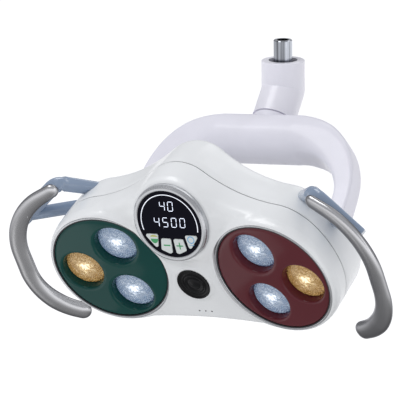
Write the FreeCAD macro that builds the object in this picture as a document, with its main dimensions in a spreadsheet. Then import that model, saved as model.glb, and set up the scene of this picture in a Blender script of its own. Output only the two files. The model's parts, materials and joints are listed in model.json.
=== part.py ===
import FreeCAD, Part
import math
import os
import re

import Sketcher
from FreeCAD import Placement, Rotation, Vector

# Dental operating light: a fixed post, an elbow (knuckle) that turns on it, a U-shaped yoke that
# swivels in the elbow, and a lamp head that tilts between the yoke's arms.
# Row frame: +Z up along the post, origin on the post's axis level with the elbow's top face,
# the operator's side towards -Y. Millimetres and degrees.

SIZES = {
    # post and elbow
    "post_radius": 11, "post_length": 24, "post_bore": 7, "post_chamfer": 0.8,
    "collar_radius": 14, "collar_drop": 3, "collar_thick": 1.3,
    "journal_radius": 12, "journal_end": 28, "groove_radius": 10, "groove_top": 12.5, "groove_foot": 18.5,
    "running_gap": 0.04, "bushing_wall": 2.46,
    "knuckle_radius": 25.5, "recess_radius": 17, "recess_depth": 6, "knuckle_cavity": 18.5,
    "elbow_drop": 36, "elbow_angle": 44, "elbow_reach": 41.5,
    "lock_screw_radius": 3, "lock_screw_height": 15.5,
    # swivel between elbow and yoke, measured along the swivel axis from the yoke's origin
    "yoke_drop": 74.5, "swivel_rest": 6.5, "spigot_radius": 11, "spigot_bore": 7, "spigot_top": 67,
    "swivel_ring_radius": 13.5, "washer_radius": 20.5, "washer_thick": 3.5, "boss_radius": 24, "boss_height": 32.4,
    # yoke
    "yoke_set_off": 10, "bar_radius": 29, "bend_radius": 78, "arm_middle": 129,
    "arm_width": 20, "arm_depth": 28, "arm_length": 112, "yoke_edge": 4,
    # tilt joint
    "tilt_rest": 22, "tilt_height": -16, "tilt_back": 111.6, "pin_radius": 6, "pin_head_radius": 10,
    "ear_radius": 15, "ear_inner": 100, "ear_outer": 117.4, "tilt_bush_radius": 9, "cap_radius": 11,
    # head outline: two lobes, a crown behind the display, concave flanks and a shallow belly
    "lobe_offset": 104.1, "lobe_radius": 77, "crown_height": 68, "crown_radius": 52,
    "flank_radius": 190, "belly_radius": 700, "front_wall": 3, "rear_wall": 5,
    "seam_depth": 21, "seam_bend": 35, "seam_slope": 16.1, "seam_gap": 1,
    "back_depth": 74, "back_bend": 62, "back_slope": 27, "back_round": 8,
    "deck_inset": 15, "deck_foot": 24, "toe_in": 4.39, "rim_radius": 74,
    # lamp panels
    "panel_radius": 68.7, "panel_edge": 4, "gasket_radius": 70, "trim_radius": 72.2, "ledge_radius": 66,
    "lens_radius": 24.3, "lens_flange": 26, "lens_depth": 8.65, "well_radius": 28, "panel_skin": 2,
    "inner_lens_x": 16.1, "upper_lens_y": 31.3, "lower_lens_y": -35.5, "outer_lens_x": 36.9, "outer_lens_y": -3.6,
    "board_depth": 39, "board_radius": 62, "board_thick": 1.6, "sink_radius": 60, "sink_depth": 20,
    # display
    "display_height": 72.8, "display_front": 5.5, "display_tilt": 12.4, "window_radius": 39.9, "bezel_radius": 45.5,
    "bezel_height": 9, "window_thick": 2, "turret_radius": 47.5, "turret_foot": 56, "key_travel": 0.8, "key_gap": 0.3,
    # hand sensor
    "sensor_height": -15, "sensor_front": 1.4, "sensor_radius": 20, "sensor_rim": 22.5, "sensor_foot": 27,
    # handles
    "grip_wide": 10.6, "grip_deep": 5.8, "grip_x": 227, "grip_z": -8.2, "grip_lean": 16,
    "grip_top_in": 63, "grip_top": 87.2, "grip_top_angle": 23, "grip_top_bend": 80,
    "grip_foot_in": 45.5, "grip_foot": 84, "grip_foot_angle": 26, "grip_foot_bend": 71,
    "bracket_wide": 15, "bracket_deep": 13, "bracket_edge": 3, "bracket_overhang": 8,
}

doc = FreeCAD.newDocument("DentalLight")
sheet = doc.addObject("Spreadsheet::Sheet", "Sizes")
for row, (alias, size) in enumerate(SIZES.items(), 1):
    sheet.set(f"A{row}", alias)
    sheet.set(f"B{row}", str(size))
    sheet.setAlias(f"B{row}", alias)
doc.recompute()

SUBPARTS = []
X_AXIS, Y_AXIS, Z_AXIS = Vector(1, 0, 0), Vector(0, 1, 0), Vector(0, 0, 1)
SIDES = (("left", -1), ("right", 1))


# ---------------------------------------------------------------- helpers

def in_sheet(formula):
    """The formula with each alias written as a cell of the sheet."""
    return re.sub(r"[a-z_]+", lambda word: "Sizes." + word[0] if word[0] in SIZES else word[0], str(formula))


def number(formula):
    """The formula's present value."""
    result = sheet.evalExpression(in_sheet(formula))
    return float(getattr(result, "Value", result))


def bind(thing, **formulas):
    for name, formula in formulas.items():
        thing.setExpression(name, in_sheet(formula))
    return thing


def keep(thing, label, place):
    """Makes the object a sub-part, exported under its label."""
    thing.Label = label
    thing.Placement = place
    SUBPARTS.append(thing)
    return thing


def at(x=0, y=0, z=0, turn=Rotation()):
    return Placement(Vector(x, y, z), turn)


def about(axis, degrees):
    return Placement(Vector(), Rotation(axis, degrees))


def cylinder(name, radius, low, high, place=at()):
    """A cylinder along the local Z axis from one height to another."""
    solid = bind(doc.addObject("Part::Cylinder", name), Radius=radius, Height=f"({high}) - ({low})")
    solid.Placement = place * at(z=number(low))
    return solid


def cone(name, foot_radius, top_radius, low, high, place=at()):
    solid = doc.addObject("Part::Cone", name)
    bind(solid, Radius1=foot_radius, Radius2=top_radius, Height=f"({high}) - ({low})")
    solid.Placement = place * at(z=number(low))
    return solid


def sphere(name, radius, place):
    solid = bind(doc.addObject("Part::Sphere", name), Radius=radius)
    solid.Placement = place
    return solid


def box(name, low, high, place=at()):
    """A box between two corners given as formulas."""
    sizes = [f"({b}) - ({a})" for a, b in zip(low, high)]
    solid = bind(doc.addObject("Part::Box", name), Length=sizes[0], Width=sizes[1], Height=sizes[2])
    solid.Placement = place * at(*[number(a) for a in low])
    return solid


def fuse(name, solids):
    joined = doc.addObject("Part::MultiFuse", name)
    joined.Shapes = solids
    return joined


def common(name, solids):
    shared = doc.addObject("Part::MultiCommon", name)
    shared.Shapes = solids
    return shared


def cut(name, base, *tools):
    result = doc.addObject("Part::Cut", name)
    result.Base = base
    result.Tool = tools[0] if len(tools) == 1 else fuse(name + "_cutters", list(tools))
    return result


def group(name, solids):
    """Identical pieces that share one node, each a separate solid."""
    together = doc.addObject("Part::Compound", name)
    together.Links = solids
    return together


def corner_lines(sketch, corners):
    """A closed outline through corners, each an (x, y) pair of formulas."""
    points = [Vector(number(x), number(y), 0) for x, y in corners]
    count = len(points)
    for i, point in enumerate(points):
        sketch.addGeometry(Part.LineSegment(point, points[(i + 1) % count]), False)
    for i in range(count):
        sketch.addConstraint(Sketcher.Constraint("Coincident", i, 2, (i + 1) % count, 1))
    for i, (x, y) in enumerate(corners):
        for kind, formula, value in (("DistanceX", x, points[i].x), ("DistanceY", y, points[i].y)):
            if str(formula) == "0":
                axis = -2 if kind == "DistanceX" else -1
                sketch.addConstraint(Sketcher.Constraint("PointOnObject", i, 1, axis))
            else:
                index = sketch.addConstraint(Sketcher.Constraint(kind, i, 1, value))
                sketch.setExpression(f"Constraints[{index}]", in_sheet(formula))


def body_sketch(body, name, role):
    """A sketch on one of the body's own origin planes."""
    sketch = body.newObject("Sketcher::SketchObject", name)
    plane = next(item for item in body.Origin.OriginFeatures if item.Role == role)
    sketch.AttachmentSupport = [(plane, "")]
    sketch.MapMode = "FlatFace"
    return sketch


def turned(name, corners):
    """A body turned about its own Z axis from (radius, height) corners."""
    body = doc.addObject("PartDesign::Body", name)
    sketch = body_sketch(body, name + "_profile", "XZ_Plane")
    corner_lines(sketch, corners)
    turn = body.newObject("PartDesign::Revolution", name + "_turn")
    turn.Profile = sketch
    turn.ReferenceAxis = (sketch, ["V_Axis"])
    turn.Angle = 360
    return body


def padded(name, corners, low, high, radius=None):
    """A body padded along Z from a closed outline, its upright edges rounded if a radius is given."""
    body = doc.addObject("PartDesign::Body", name)
    sketch = body_sketch(body, name + "_outline", "XY_Plane")
    sketch.AttachmentOffset = at(z=number(low))
    corner_lines(sketch, corners)
    pad = body.newObject("PartDesign::Pad", name + "_pad")
    pad.Profile = sketch
    bind(pad, Length=f"({high}) - ({low})")
    if radius is not None:
        doc.recompute()
        upright = [f"Edge{i + 1}" for i, edge in enumerate(pad.Shape.Edges)
                   if abs(edge.tangentAt(edge.FirstParameter).z) > 0.99]
        fillet = body.newObject("PartDesign::Fillet", name + "_round")
        fillet.Base = (pad, upright)
        bind(fillet, Radius=radius)
    return body


def side_wedge(name, corners):
    """A prism right across the head from a closed outline of (y, z) corners."""
    sketch = doc.addObject("Sketcher::SketchObject", name + "_outline")
    sketch.Placement = Placement(Vector(), Rotation(Y_AXIS, Z_AXIS, X_AXIS, "XYZ"))
    corner_lines(sketch, corners)
    prism = doc.addObject("Part::Extrusion", name)
    prism.Base = sketch
    prism.DirMode = "Normal"
    prism.Solid = True
    prism.Symmetric = True
    prism.LengthFwd = 520
    return prism


# ---------------------------------------------------------------- frames

ELBOW = math.radians(number("elbow_angle"))
SWIVEL_AXIS = Vector(0, -math.sin(ELBOW), -math.cos(ELBOW))
ELBOW_POINT = Vector(0, 0, -number("elbow_drop"))
SWIVEL_TURN = Rotation(X_AXIS, SWIVEL_AXIS.cross(X_AXIS), SWIVEL_AXIS, "XYZ")

ROW = at()
# Z along the swivel axis, origin where that axis crosses the yoke's bar, before the yoke is turned
SWIVEL = Placement(ELBOW_POINT + SWIVEL_AXIS * number("yoke_drop"), SWIVEL_TURN)
YOKE = SWIVEL * about(Z_AXIS, number("swivel_rest"))
TILT = YOKE * at(y=number("yoke_set_off"), z=number("arm_length"))
# head frame: X to the viewer's right, Y up the face, Z out of the lamp, origin between the panels
HEAD = TILT * about(X_AXIS, -number("tilt_rest")) * at(y=-number("tilt_height"), z=number("tilt_back"))
DISPLAY = at(y=number("display_height"), z=number("display_front")) * about(X_AXIS, -number("display_tilt"))
SENSOR = at(y=number("sensor_height"), z=number("sensor_front"))
PANELS = {name: at(x=side * number("lobe_offset")) * about(Y_AXIS, -side * number("toe_in"))
          for name, side in SIDES}


# ---------------------------------------------------------------- post and elbow

def mounting_post():
    corners = [("post_bore", "-journal_end"), ("journal_radius", "-journal_end"),
               ("journal_radius", "-groove_foot"), ("groove_radius", "-groove_foot"),
               ("groove_radius", "-groove_top"), ("journal_radius", "-groove_top"),
               ("journal_radius", "-collar_drop - collar_thick"), ("collar_radius", "-collar_drop - collar_thick"),
               ("collar_radius", "-collar_drop"), ("post_radius", "-collar_drop"),
               ("post_radius", "post_length - post_chamfer"), ("post_radius - post_chamfer", "post_length"),
               ("post_bore", "post_length")]
    keep(turned("post", corners), "mounting_post", ROW)


def post_bearing():
    washer = cut("post_washer_ring", cylinder("post_washer_disc", "recess_radius - 0.6", "-recess_depth", "-4.5"),
                 cylinder("post_washer_hole", "journal_radius + 0.3", "-10", "0"))
    keep(washer, "post_washer", ROW)
    bore = "journal_radius + running_gap"
    sleeve = cut("bushing_sleeve",
                 cylinder("bushing_outside", "journal_radius + running_gap + bushing_wall", "-26", "-recess_depth"),
                 cylinder("bushing_bore", bore, "-30", "0"),
                 cylinder("bushing_screw_hole", "lock_screw_radius - 0.5", "8", "20", screw_line()))
    keep(sleeve, "post_bushing", ROW)


def screw_line():
    """Z along the lock screw, from the post's axis out through the back of the elbow."""
    return at(z=-number("lock_screw_height")) * about(X_AXIS, -90)


def post_lock_screw():
    point = cylinder("screw_point", "lock_screw_radius - 0.9", "groove_radius + 0.5", "15")
    shank = cylinder("screw_shank", "lock_screw_radius", "15", "24.5")
    socket = bind(doc.addObject("Part::Prism", "screw_socket"), Circumradius="1.7", Height="4")
    socket.Polygon = 6
    socket.Placement = at(z=22)
    keep(cut("lock_screw", fuse("screw_turned", [point, shank]), socket), "post_lock_screw", screw_line())


def knuckle_housing():
    upright = cylinder("knuckle_upright", "knuckle_radius", "-elbow_drop", "0")
    rounded = doc.addObject("Part::Fillet", "knuckle_top_edge")
    rounded.Base = upright
    rounded.Edges = [(3, 1.5, 1.5)]
    # heights along the swivel axis are measured from the elbow point
    slant = Placement(ELBOW_POINT, SWIVEL_TURN)
    outside = fuse("knuckle_outside", [
        rounded, sphere("knuckle_bend", "knuckle_radius", slant),
        cylinder("knuckle_slant", "knuckle_radius", "0", "elbow_reach", slant)])
    bushing = "journal_radius + running_gap + bushing_wall"
    keep(cut("knuckle", outside,
             cylinder("knuckle_recess", "recess_radius", "-recess_depth", "5"),
             cylinder("knuckle_bore", bushing, "-elbow_drop", "5"),
             sphere("knuckle_hollow", "knuckle_cavity", slant),
             cylinder("knuckle_swivel_bore", "spigot_radius + running_gap + bushing_wall + 0.5", "0", "60", slant),
             cylinder("knuckle_washer_seat", "washer_radius + 0.8", "elbow_reach - 3.1", "60", slant),
             cylinder("knuckle_screw_hole", "lock_screw_radius", "10", "40", screw_line())),
         "knuckle_housing", ROW)


def swivel_bearing():
    """Bush in the elbow; spigot, retaining ring and friction washer on the yoke's side."""
    top, seat = "-spigot_top + 5", "-yoke_drop + elbow_reach - 3.1"
    outside = "spigot_radius + running_gap + bushing_wall + 0.5"
    keep(cut("swivel_sleeve", cylinder("swivel_sleeve_disc", outside, top, seat + " - 0.4"),
             cylinder("swivel_sleeve_bore", "spigot_radius + running_gap", "-80", "0")),
         "swivel_bushing", SWIVEL)
    ring_low, ring_high = "-spigot_top + 2.8", "-spigot_top + 4.6"
    keep(turned("spigot", [("spigot_bore", "-spigot_top"), ("spigot_radius", "-spigot_top"),
                           ("spigot_radius", ring_low), ("spigot_radius - 1", ring_low),
                           ("spigot_radius - 1", ring_high), ("spigot_radius", ring_high),
                           ("spigot_radius", -8), ("spigot_bore", -8)]), "swivel_spigot", YOKE)
    keep(cut("retaining_ring", cylinder("retaining_ring_disc", "swivel_ring_radius", ring_low, ring_high),
             cylinder("retaining_ring_hole", "spigot_radius - 1", "-80", "0")),
         "swivel_retaining_ring", YOKE)
    keep(cut("friction_washer", cylinder("friction_washer_disc", "washer_radius", "-boss_height - washer_thick",
                                         "-boss_height"),
             cylinder("friction_washer_hole", "spigot_radius + 0.3", "-80", "0")),
         "swivel_friction_washer", YOKE)


# ---------------------------------------------------------------- yoke

def rounded_section(width, depth, radius, place):
    """A closed eight-edged section: four straight sides and four corner arcs, width along local X."""
    half_width, half_depth = width / 2, depth / 2
    edges = []
    for quarter, (sx, sy) in enumerate(((1, 1), (-1, 1), (-1, -1), (1, -1))):
        centre = Vector(sx * (half_width - radius), sy * (half_depth - radius), 0)
        start = math.radians(90 * quarter)
        ends = [centre + Vector(math.cos(a), math.sin(a), 0) * radius
                for a in (start, start + math.pi / 4, start + math.pi / 2)]
        if edges:
            edges.append(Part.makeLine(edges[-1].valueAt(edges[-1].LastParameter), ends[0]))
        edges.append(Part.Arc(*ends).toShape())
    edges.append(Part.makeLine(edges[-1].valueAt(edges[-1].LastParameter), edges[0].valueAt(edges[0].FirstParameter)))
    section = Part.Wire(edges)
    section.Placement = place
    return section


def yoke_sections():
    """Sections along the bent bar: round in the middle, slimmer and squarer towards the arms."""
    bend, arm, length = number("bend_radius"), number("arm_middle"), number("arm_length")
    round_size, width, depth = 2 * number("bar_radius"), number("arm_width"), number("arm_depth")
    stations = [(arm - bend, 0, 0, 0.0), (None, None, 25, 0.3), (None, None, 50, 0.66), (None, None, 72, 0.9),
                (arm, bend, 90, 1.0), (arm, length, 90, 1.0)]
    half = []
    for x, z, turn, slim in stations:
        if x is None:
            angle = math.radians(turn)
            x, z = arm - bend + bend * math.sin(angle), bend * (1 - math.cos(angle))
        wide = round_size + (width - round_size) * slim
        deep = round_size + (depth - round_size) * slim
        corner = (round_size / 2 - 0.4) + (number("yoke_edge") - round_size / 2 + 0.4) * slim
        half.append((x, z, turn, wide, deep, min(corner, wide / 2 - 0.4, deep / 2 - 0.4)))
    left = [(-x, z, -turn, wide, deep, corner) for x, z, turn, wide, deep, corner in reversed(half)]
    middle = [(0, 0, 0, round_size, round_size, round_size / 2 - 0.4)]
    for x, z, turn, wide, deep, corner in left + middle + half:
        # the section's own normal runs along the bar, its width lies in the yoke's plane
        place = at(x=x, y=number("yoke_set_off"), z=z) * about(Y_AXIS, 90 - turn)
        yield rounded_section(wide, deep, corner, place)


def yoke():
    bar = doc.addObject("Part::Feature", "yoke_bar")
    bar.Shape = Part.makeLoft(list(yoke_sections()), True, False)
    boss = cylinder("yoke_boss", "boss_radius", "-boss_height", "0")
    tools = [cylinder("yoke_seat", "knuckle_radius + 1", "-60", "-boss_height + 0.01"),
             cylinder("yoke_spigot_bore", "spigot_radius", "-60", "-8"),
             cylinder("yoke_cable_hole", "spigot_bore", "-20", "6")]
    ends = []
    for name, side in SIDES:
        line = tilt_line(side, YOKE.inverse())
        inner, outer = "arm_middle - arm_width / 2", "arm_middle + arm_width / 2"
        ends.append(cylinder(f"yoke_end_{name}", "arm_depth / 2", inner, outer, line))
        tools.append(cylinder(f"yoke_pin_bore_{name}", "pin_radius", "60", "160", line))
        tools.append(cylinder(f"yoke_cap_bore_{name}", "cap_radius", outer + " - 6", "160", line))
    keep(cut("yoke_casting", fuse("yoke_outside", [bar, boss] + ends), *tools), "yoke", YOKE)


def tilt_line(side, frame):
    """Z outwards along the tilt axis on one side, in the given frame."""
    return frame * TILT * about(Y_AXIS, 90 * side)


def tilt_hardware():
    outer = "arm_middle + arm_width / 2"
    pins, nuts, caps, bushes, washers = [], [], [], [], []
    for name, side in SIDES:
        line = tilt_line(side, at())
        pin = turned(f"pin_{name}", [(0, "ear_inner - 4"), ("pin_radius", "ear_inner - 4"),
                                     ("pin_radius", outer + " - 6"), ("pin_head_radius", outer + " - 6"),
                                     ("pin_head_radius", outer + " - 3"), (0, outer + " - 3")])
        cap = turned(f"cap_{name}", [(0, outer + " - 3"), ("cap_radius", outer + " - 3"),
                                     ("cap_radius", outer), ("cap_radius - 2", outer + " + 1.5"),
                                     (0, outer + " + 2.2")])
        nut = cut(f"nut_{name}", cylinder(f"nut_disc_{name}", "pin_head_radius", "ear_inner - 3.6", "ear_inner - 0.4"),
                  cylinder(f"nut_hole_{name}", "pin_radius", "50", "160"))
        bush = cut(f"bush_{name}", cylinder(f"bush_disc_{name}", "tilt_bush_radius", "ear_inner", "ear_outer"),
                   cylinder(f"bush_hole_{name}", "pin_radius + running_gap", "50", "160"))
        washer = cut(f"washer_{name}",
                     cylinder(f"washer_disc_{name}", "ear_radius - 2", "ear_outer + 0.3",
                              "arm_middle - arm_width / 2"),
                     cylinder(f"washer_hole_{name}", "pin_radius", "50", "160"))
        for piece, pieces in ((pin, pins), (nut, nuts), (cap, caps), (bush, bushes), (washer, washers)):
            piece.Placement = line
            pieces.append(piece)
    for label, pieces in (("tilt_pins", pins), ("tilt_pin_nuts", nuts), ("tilt_pin_caps", caps),
                          ("tilt_bushes", bushes), ("tilt_friction_washers", washers)):
        keep(group(label + "_group", pieces), label, ROW)


# ---------------------------------------------------------------- head housings

def outer_tangent_centre(first, first_radius, second, second_radius, radius):
    """Centre of an arc that touches both circles from outside, on the left of the line between them."""
    span = second - first
    distance = span.Length
    near, far = first_radius + radius, second_radius + radius
    along = (near ** 2 - far ** 2 + distance ** 2) / (2 * distance)
    aside = math.sqrt(near ** 2 - along ** 2)
    unit = span / distance
    return first + unit * along + Vector(-unit.y, unit.x, 0) * aside


def head_outline(name, inset):
    """The head seen from the front: lobe, crown, lobe, joined by concave flanks and belly."""
    sketch = doc.addObject("Sketcher::SketchObject", name)
    lobe, crown = f"lobe_radius - ({inset})", f"crown_radius - ({inset})"
    flank, belly = f"flank_radius + ({inset})", f"belly_radius + ({inset})"
    right = Vector(number("lobe_offset"), 0, 0)
    top = Vector(0, number("crown_height"), 0)
    left = Vector(-right.x, 0, 0)
    circles = [(right, lobe), (top, crown), (left, lobe)]
    joins = [flank, flank, belly]
    centres = [outer_tangent_centre(circles[(i + 1) % 3][0], number(circles[(i + 1) % 3][1]),
                                    circles[i][0], number(circles[i][1]), number(joins[i])) for i in range(3)]

    def heading(centre, target):
        return math.atan2(target.y - centre.y, target.x - centre.x)

    def arc(centre, radius, start, end):
        circle = Part.Circle(centre, Z_AXIS, number(radius))
        return sketch.addGeometry(Part.ArcOfCircle(circle, start, end), False)

    main, joint = [], []
    for i, (centre, radius) in enumerate(circles):
        main.append(arc(centre, radius, heading(centre, centres[i - 1]), heading(centre, centres[i])))
    for i, centre in enumerate(centres):
        joint.append(arc(centre, joins[i], heading(centre, circles[(i + 1) % 3][0]), heading(centre, circles[i][0])))
    for i in range(3):
        sketch.addConstraint(Sketcher.Constraint("Tangent", main[i], 2, joint[i], 2))
        sketch.addConstraint(Sketcher.Constraint("Tangent", joint[i], 1, main[(i + 1) % 3], 1))
    for index, (centre, radius) in zip(main + joint, circles + list(zip(centres, joins))):
        fixed = sketch.addConstraint(Sketcher.Constraint("Radius", index, number(radius)))
        sketch.setExpression(f"Constraints[{fixed}]", in_sheet(radius))
    for index, across, up in ((main[0], "lobe_offset", None), (main[1], None, "crown_height"),
                              (main[2], "-lobe_offset", None)):
        for kind, formula, axis in (("DistanceX", across, -2), ("DistanceY", up, -1)):
            if formula is None:
                sketch.addConstraint(Sketcher.Constraint("PointOnObject", index, 3, axis))
            else:
                fixed = sketch.addConstraint(Sketcher.Constraint(kind, index, 3, number(formula)))
                sketch.setExpression(f"Constraints[{fixed}]", in_sheet(formula))
    return sketch


def column(name, inset):
    """The outline run straight through the head from back to front."""
    prism = doc.addObject("Part::Extrusion", name)
    prism.Base = head_outline(name + "_outline", inset)
    prism.Base.Placement = at(z=-140)
    prism.DirMode = "Normal"
    prism.Solid = True
    prism.LengthFwd = 170
    return prism


def seam_corners(shift):
    """The bent parting line between the covers, closed over the front half."""
    drop = f"-seam_depth + ({shift})"
    return [(-140, drop), ("seam_bend", drop), (150, f"{drop} - (150 - seam_bend) * tan(seam_slope)"),
            (150, 80), (-140, 80)]


def back_corners(shift):
    """Everything in front of the back wall, which leans back behind the crown."""
    drop = f"-back_depth + ({shift})"
    return [(-140, drop), ("back_bend", drop), (150, f"{drop} - (150 - back_bend) * tan(back_slope)"),
            (150, 80), (-140, 80)]


def screw_places():
    """The four housing screws, clear of the lamp panels and the display."""
    return [(x, y) for y, x_size in ((70, 52), (-58, 36)) for x in (-x_size, x_size)]


def front_form(name, inset, lower):
    """The front cover's outer form, or its inner form when inset and lowered."""
    tapered = doc.addObject("Part::Loft", name + "_deck_taper")
    foot, top = head_outline(name + "_deck_foot", inset), head_outline(name + "_deck_top", f"deck_inset + ({inset})")
    foot.Placement = at(z=-number("deck_foot"))
    top.Placement = at(z=4)
    tapered.Sections = [foot, top]
    tapered.Solid = True
    tapered.Ruled = True
    below = box(name + "_below", (-220, -140, -120), (220, 160, "-deck_foot"))
    deck = side_wedge(name + "_deck_side", [(-140, f"-26 - ({lower})"), (-70, f"-15 - ({lower})"),
                                            (-30, f"-5 - ({lower})"), (40, f"-2 - ({lower})"),
                                            (140, f"-22 - ({lower})"), (140, -100), (-140, -100)])
    forms = [common(name + "_deck", [fuse(name + "_block", [tapered, below]), deck])]
    forms.append(cone(name + "_turret", f"turret_foot - ({inset})", f"turret_radius - ({inset})", "-50",
                      f"-bezel_height - ({lower})", DISPLAY))
    forms.append(cone(name + "_boss", f"sensor_foot - ({inset})", f"sensor_rim - ({inset})", "-12",
                      f"0.6 - ({lower})", SENSOR))
    for side_name, _ in SIDES:
        place = PANELS[side_name]
        forms.append(cone(f"{name}_lobe_{side_name}", f"lobe_radius + 10 - ({inset})", f"rim_radius - ({inset})",
                          "-70", f"-0.01 - ({lower})", place))
    return fuse(name + "_form", forms)


def front_housing():
    outside = common("front_outside", [column("front_column", "0"), side_wedge("front_part", seam_corners(0)),
                                       front_form("front", "0", "0")])
    inside = common("front_inside", [column("front_core", "front_wall + 0.5"),
                                     front_form("hollow", "front_wall", "front_wall")])
    stands = []
    for i, (x, y) in enumerate(screw_places()):
        post = cylinder(f"front_stand_{i}", "5.5", "-60", "-4", at(x=x, y=y))
        stands.append(post)
    stand_tops = common("front_stands", [fuse("front_stand_posts", stands), side_wedge("stand_part", seam_corners(0)),
                                         front_form("stand", "1", "1")])
    tools = [cylinder("display_opening", "window_radius - 2", "-60", "5", DISPLAY),
             cylinder("sensor_opening", "sensor_radius", "-30", "5", SENSOR)]
    for side_name, _ in SIDES:
        place = PANELS[side_name]
        tools.append(cylinder(f"panel_seat_{side_name}", "trim_radius", "-panel_edge", "10", place))
        tools.append(cylinder(f"panel_opening_{side_name}", "ledge_radius", "-80", "10", place))
    for i, (x, y) in enumerate(screw_places()):
        tools.append(cylinder(f"front_screw_hole_{i}", "2", "-80", "-16", at(x=x, y=y)))
    for i in (-1, 0, 1):
        tools.append(cylinder(f"indicator_hole_{i}", "0.8", "-30", "0", at(x=8 * i, y=-57)))
    shell = fuse("front_shell", [cut("front_skin", outside, inside), stand_tops])
    keep(cut("front", shell, *tools), "front_housing", HEAD)


def rear_housing():
    block = common("rear_block", [column("rear_column", "0"), side_wedge("rear_back", back_corners(0))])
    doc.recompute()
    rounded = doc.addObject("Part::Fillet", "rear_rounded")
    rounded.Base = block
    radius = number("back_round")
    rounded.Edges = [(i + 1, radius, radius) for i, edge in enumerate(block.Shape.Edges) if on_back_rim(edge)]
    hollow = common("rear_hollow", [column("rear_core", "rear_wall"), side_wedge("rear_floor", back_corners("rear_wall"))])
    solids = [cut("rear_shell", rounded, hollow)]
    for i, (x, y) in enumerate(screw_places()):
        solids.append(common(f"rear_stand_{i}", [cylinder(f"rear_stand_post_{i}", "7", "-130", "0", at(x=x, y=y)),
                                                 side_wedge(f"rear_stand_back_{i}", back_corners(1))]))
    tools = [side_wedge("rear_part", seam_corners("-seam_gap"))]
    for i, (x, y) in enumerate(screw_places()):
        tools.append(cylinder(f"rear_head_hole_{i}", "4.5", "-140", "-60", at(x=x, y=y)))
        tools.append(cylinder(f"rear_screw_hole_{i}", "2.2", "-140", "0", at(x=x, y=y)))
    for name, side in SIDES:
        line = tilt_line(side, HEAD.inverse())
        solids.append(cylinder(f"ear_eye_{name}", "ear_radius", "ear_inner", "ear_outer", line))
        low, high = sorted((side * number("ear_inner"), side * number("ear_outer")))
        solids.append(box(f"ear_web_{name}", (low, "tilt_height - ear_radius", "-tilt_back"),
                          (high, "tilt_height + ear_radius", "-back_depth + 1")))
        tools.append(cylinder(f"ear_bore_{name}", "tilt_bush_radius", "60", "160", line))
    keep(cut("rear", fuse("rear_outside", solids), *tools), "rear_housing", HEAD)


def on_back_rim(edge):
    """True for an edge that runs round the back wall, not along the bend across it nor up a side."""
    middle = edge.valueAt((edge.FirstParameter + edge.LastParameter) / 2)
    ends = [vertex.Point for vertex in edge.Vertexes]
    flat_across = abs(middle.x) < 1 and all(abs(abs(p.x) - abs(ends[0].x)) < 1e-6 for p in ends) and edge.Length > 150
    if flat_across and abs(middle.y - number("back_bend")) < 1:
        return False
    return all(p.z < -60 for p in ends + [middle])


def seam_gasket():
    ring = cut("gasket_ring", column("gasket_outside", "0.7"), column("gasket_inside", "rear_wall"))
    slab = cut("gasket_slab", side_wedge("gasket_low", seam_corners("-seam_gap")),
               side_wedge("gasket_high", seam_corners(0)))
    keep(common("gasket", [ring, slab]), "seam_gasket", HEAD)


def housing_screws():
    screws = []
    for i, (x, y) in enumerate(screw_places()):
        screw = turned(f"housing_screw_{i}", [(0, -64), (4.2, -64), (4.2, -60), (2, -60), (2, -18), (0, -18)])
        screw.Placement = at(x=x, y=y)
        screws.append(screw)
    keep(group("housing_screw_group", screws), "housing_screws", HEAD)


# ---------------------------------------------------------------- lamp panels

def lens_places(side):
    """Name and place of each lens in its panel's own frame."""
    return [("upper", -side * number("inner_lens_x"), number("upper_lens_y")),
            ("lower", -side * number("inner_lens_x"), number("lower_lens_y")),
            ("outer", side * number("outer_lens_x"), number("outer_lens_y"))]


def lamp_panel(side_name, side):
    frame = HEAD * PANELS[side_name]
    disc = cylinder(f"panel_disc_{side_name}", "panel_radius", "-panel_edge", "0")
    plug = cylinder(f"panel_plug_{side_name}", "ledge_radius - 0.3", "-lens_depth - panel_skin", "-panel_edge")
    hollow = cylinder(f"panel_hollow_{side_name}", "ledge_radius - 2.5", "-20", "-panel_edge + 0.5")
    cups, wells, stands = [], [], []
    for name, x, y in lens_places(side):
        cups.append(cone(f"panel_cup_{side_name}_{name}", "lens_radius + 2", "well_radius + 2",
                         "-lens_depth - panel_skin", "-1", at(x=x, y=y)))
        wells.append(cone(f"panel_well_{side_name}_{name}", "lens_radius", "well_radius", "-lens_depth", "0.01",
                          at(x=x, y=y)))
        wells.append(cylinder(f"panel_hole_{side_name}_{name}", "lens_radius", "-20", "-lens_depth + 0.01",
                              at(x=x, y=y)))
    for i, angle in enumerate((56, 181, 300)):
        turn = math.radians(angle if side > 0 else 180 - angle)
        stands.append(cylinder(f"panel_stand_{side_name}_{i}", "3.5", "-board_depth", "-2",
                               at(x=57 * math.cos(turn), y=57 * math.sin(turn))))
    rim = cut(f"panel_rim_{side_name}", fuse(f"panel_block_{side_name}", [disc, plug]), hollow)
    inner = common(f"panel_cups_{side_name}", [fuse(f"panel_cup_set_{side_name}", cups),
                                               cylinder(f"panel_limit_{side_name}", "ledge_radius - 0.3",
                                                        "-20", "-0.5")])
    keep(cut(f"panel_{side_name}", fuse(f"panel_outside_{side_name}", [rim, inner] + stands), *wells),
         f"lamp_panel_{side_name}", frame)


def panel_rings(side_name):
    frame = HEAD * PANELS[side_name]
    keep(turned(f"panel_gasket_ring_{side_name}",
                [("panel_radius", "-panel_edge"), ("gasket_radius", "-panel_edge"), ("gasket_radius", "0.3"),
                 ("panel_radius", "0.3")]), f"panel_gasket_{side_name}", frame)
    keep(turned(f"panel_trim_ring_{side_name}",
                [("gasket_radius", "-panel_edge"), ("trim_radius", "-panel_edge"), ("trim_radius", "0.2"),
                 ("trim_radius - 0.6", "0.8"), ("gasket_radius + 0.4", "0.8"), ("gasket_radius", "0.4")]),
         f"panel_trim_{side_name}", frame)


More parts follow.
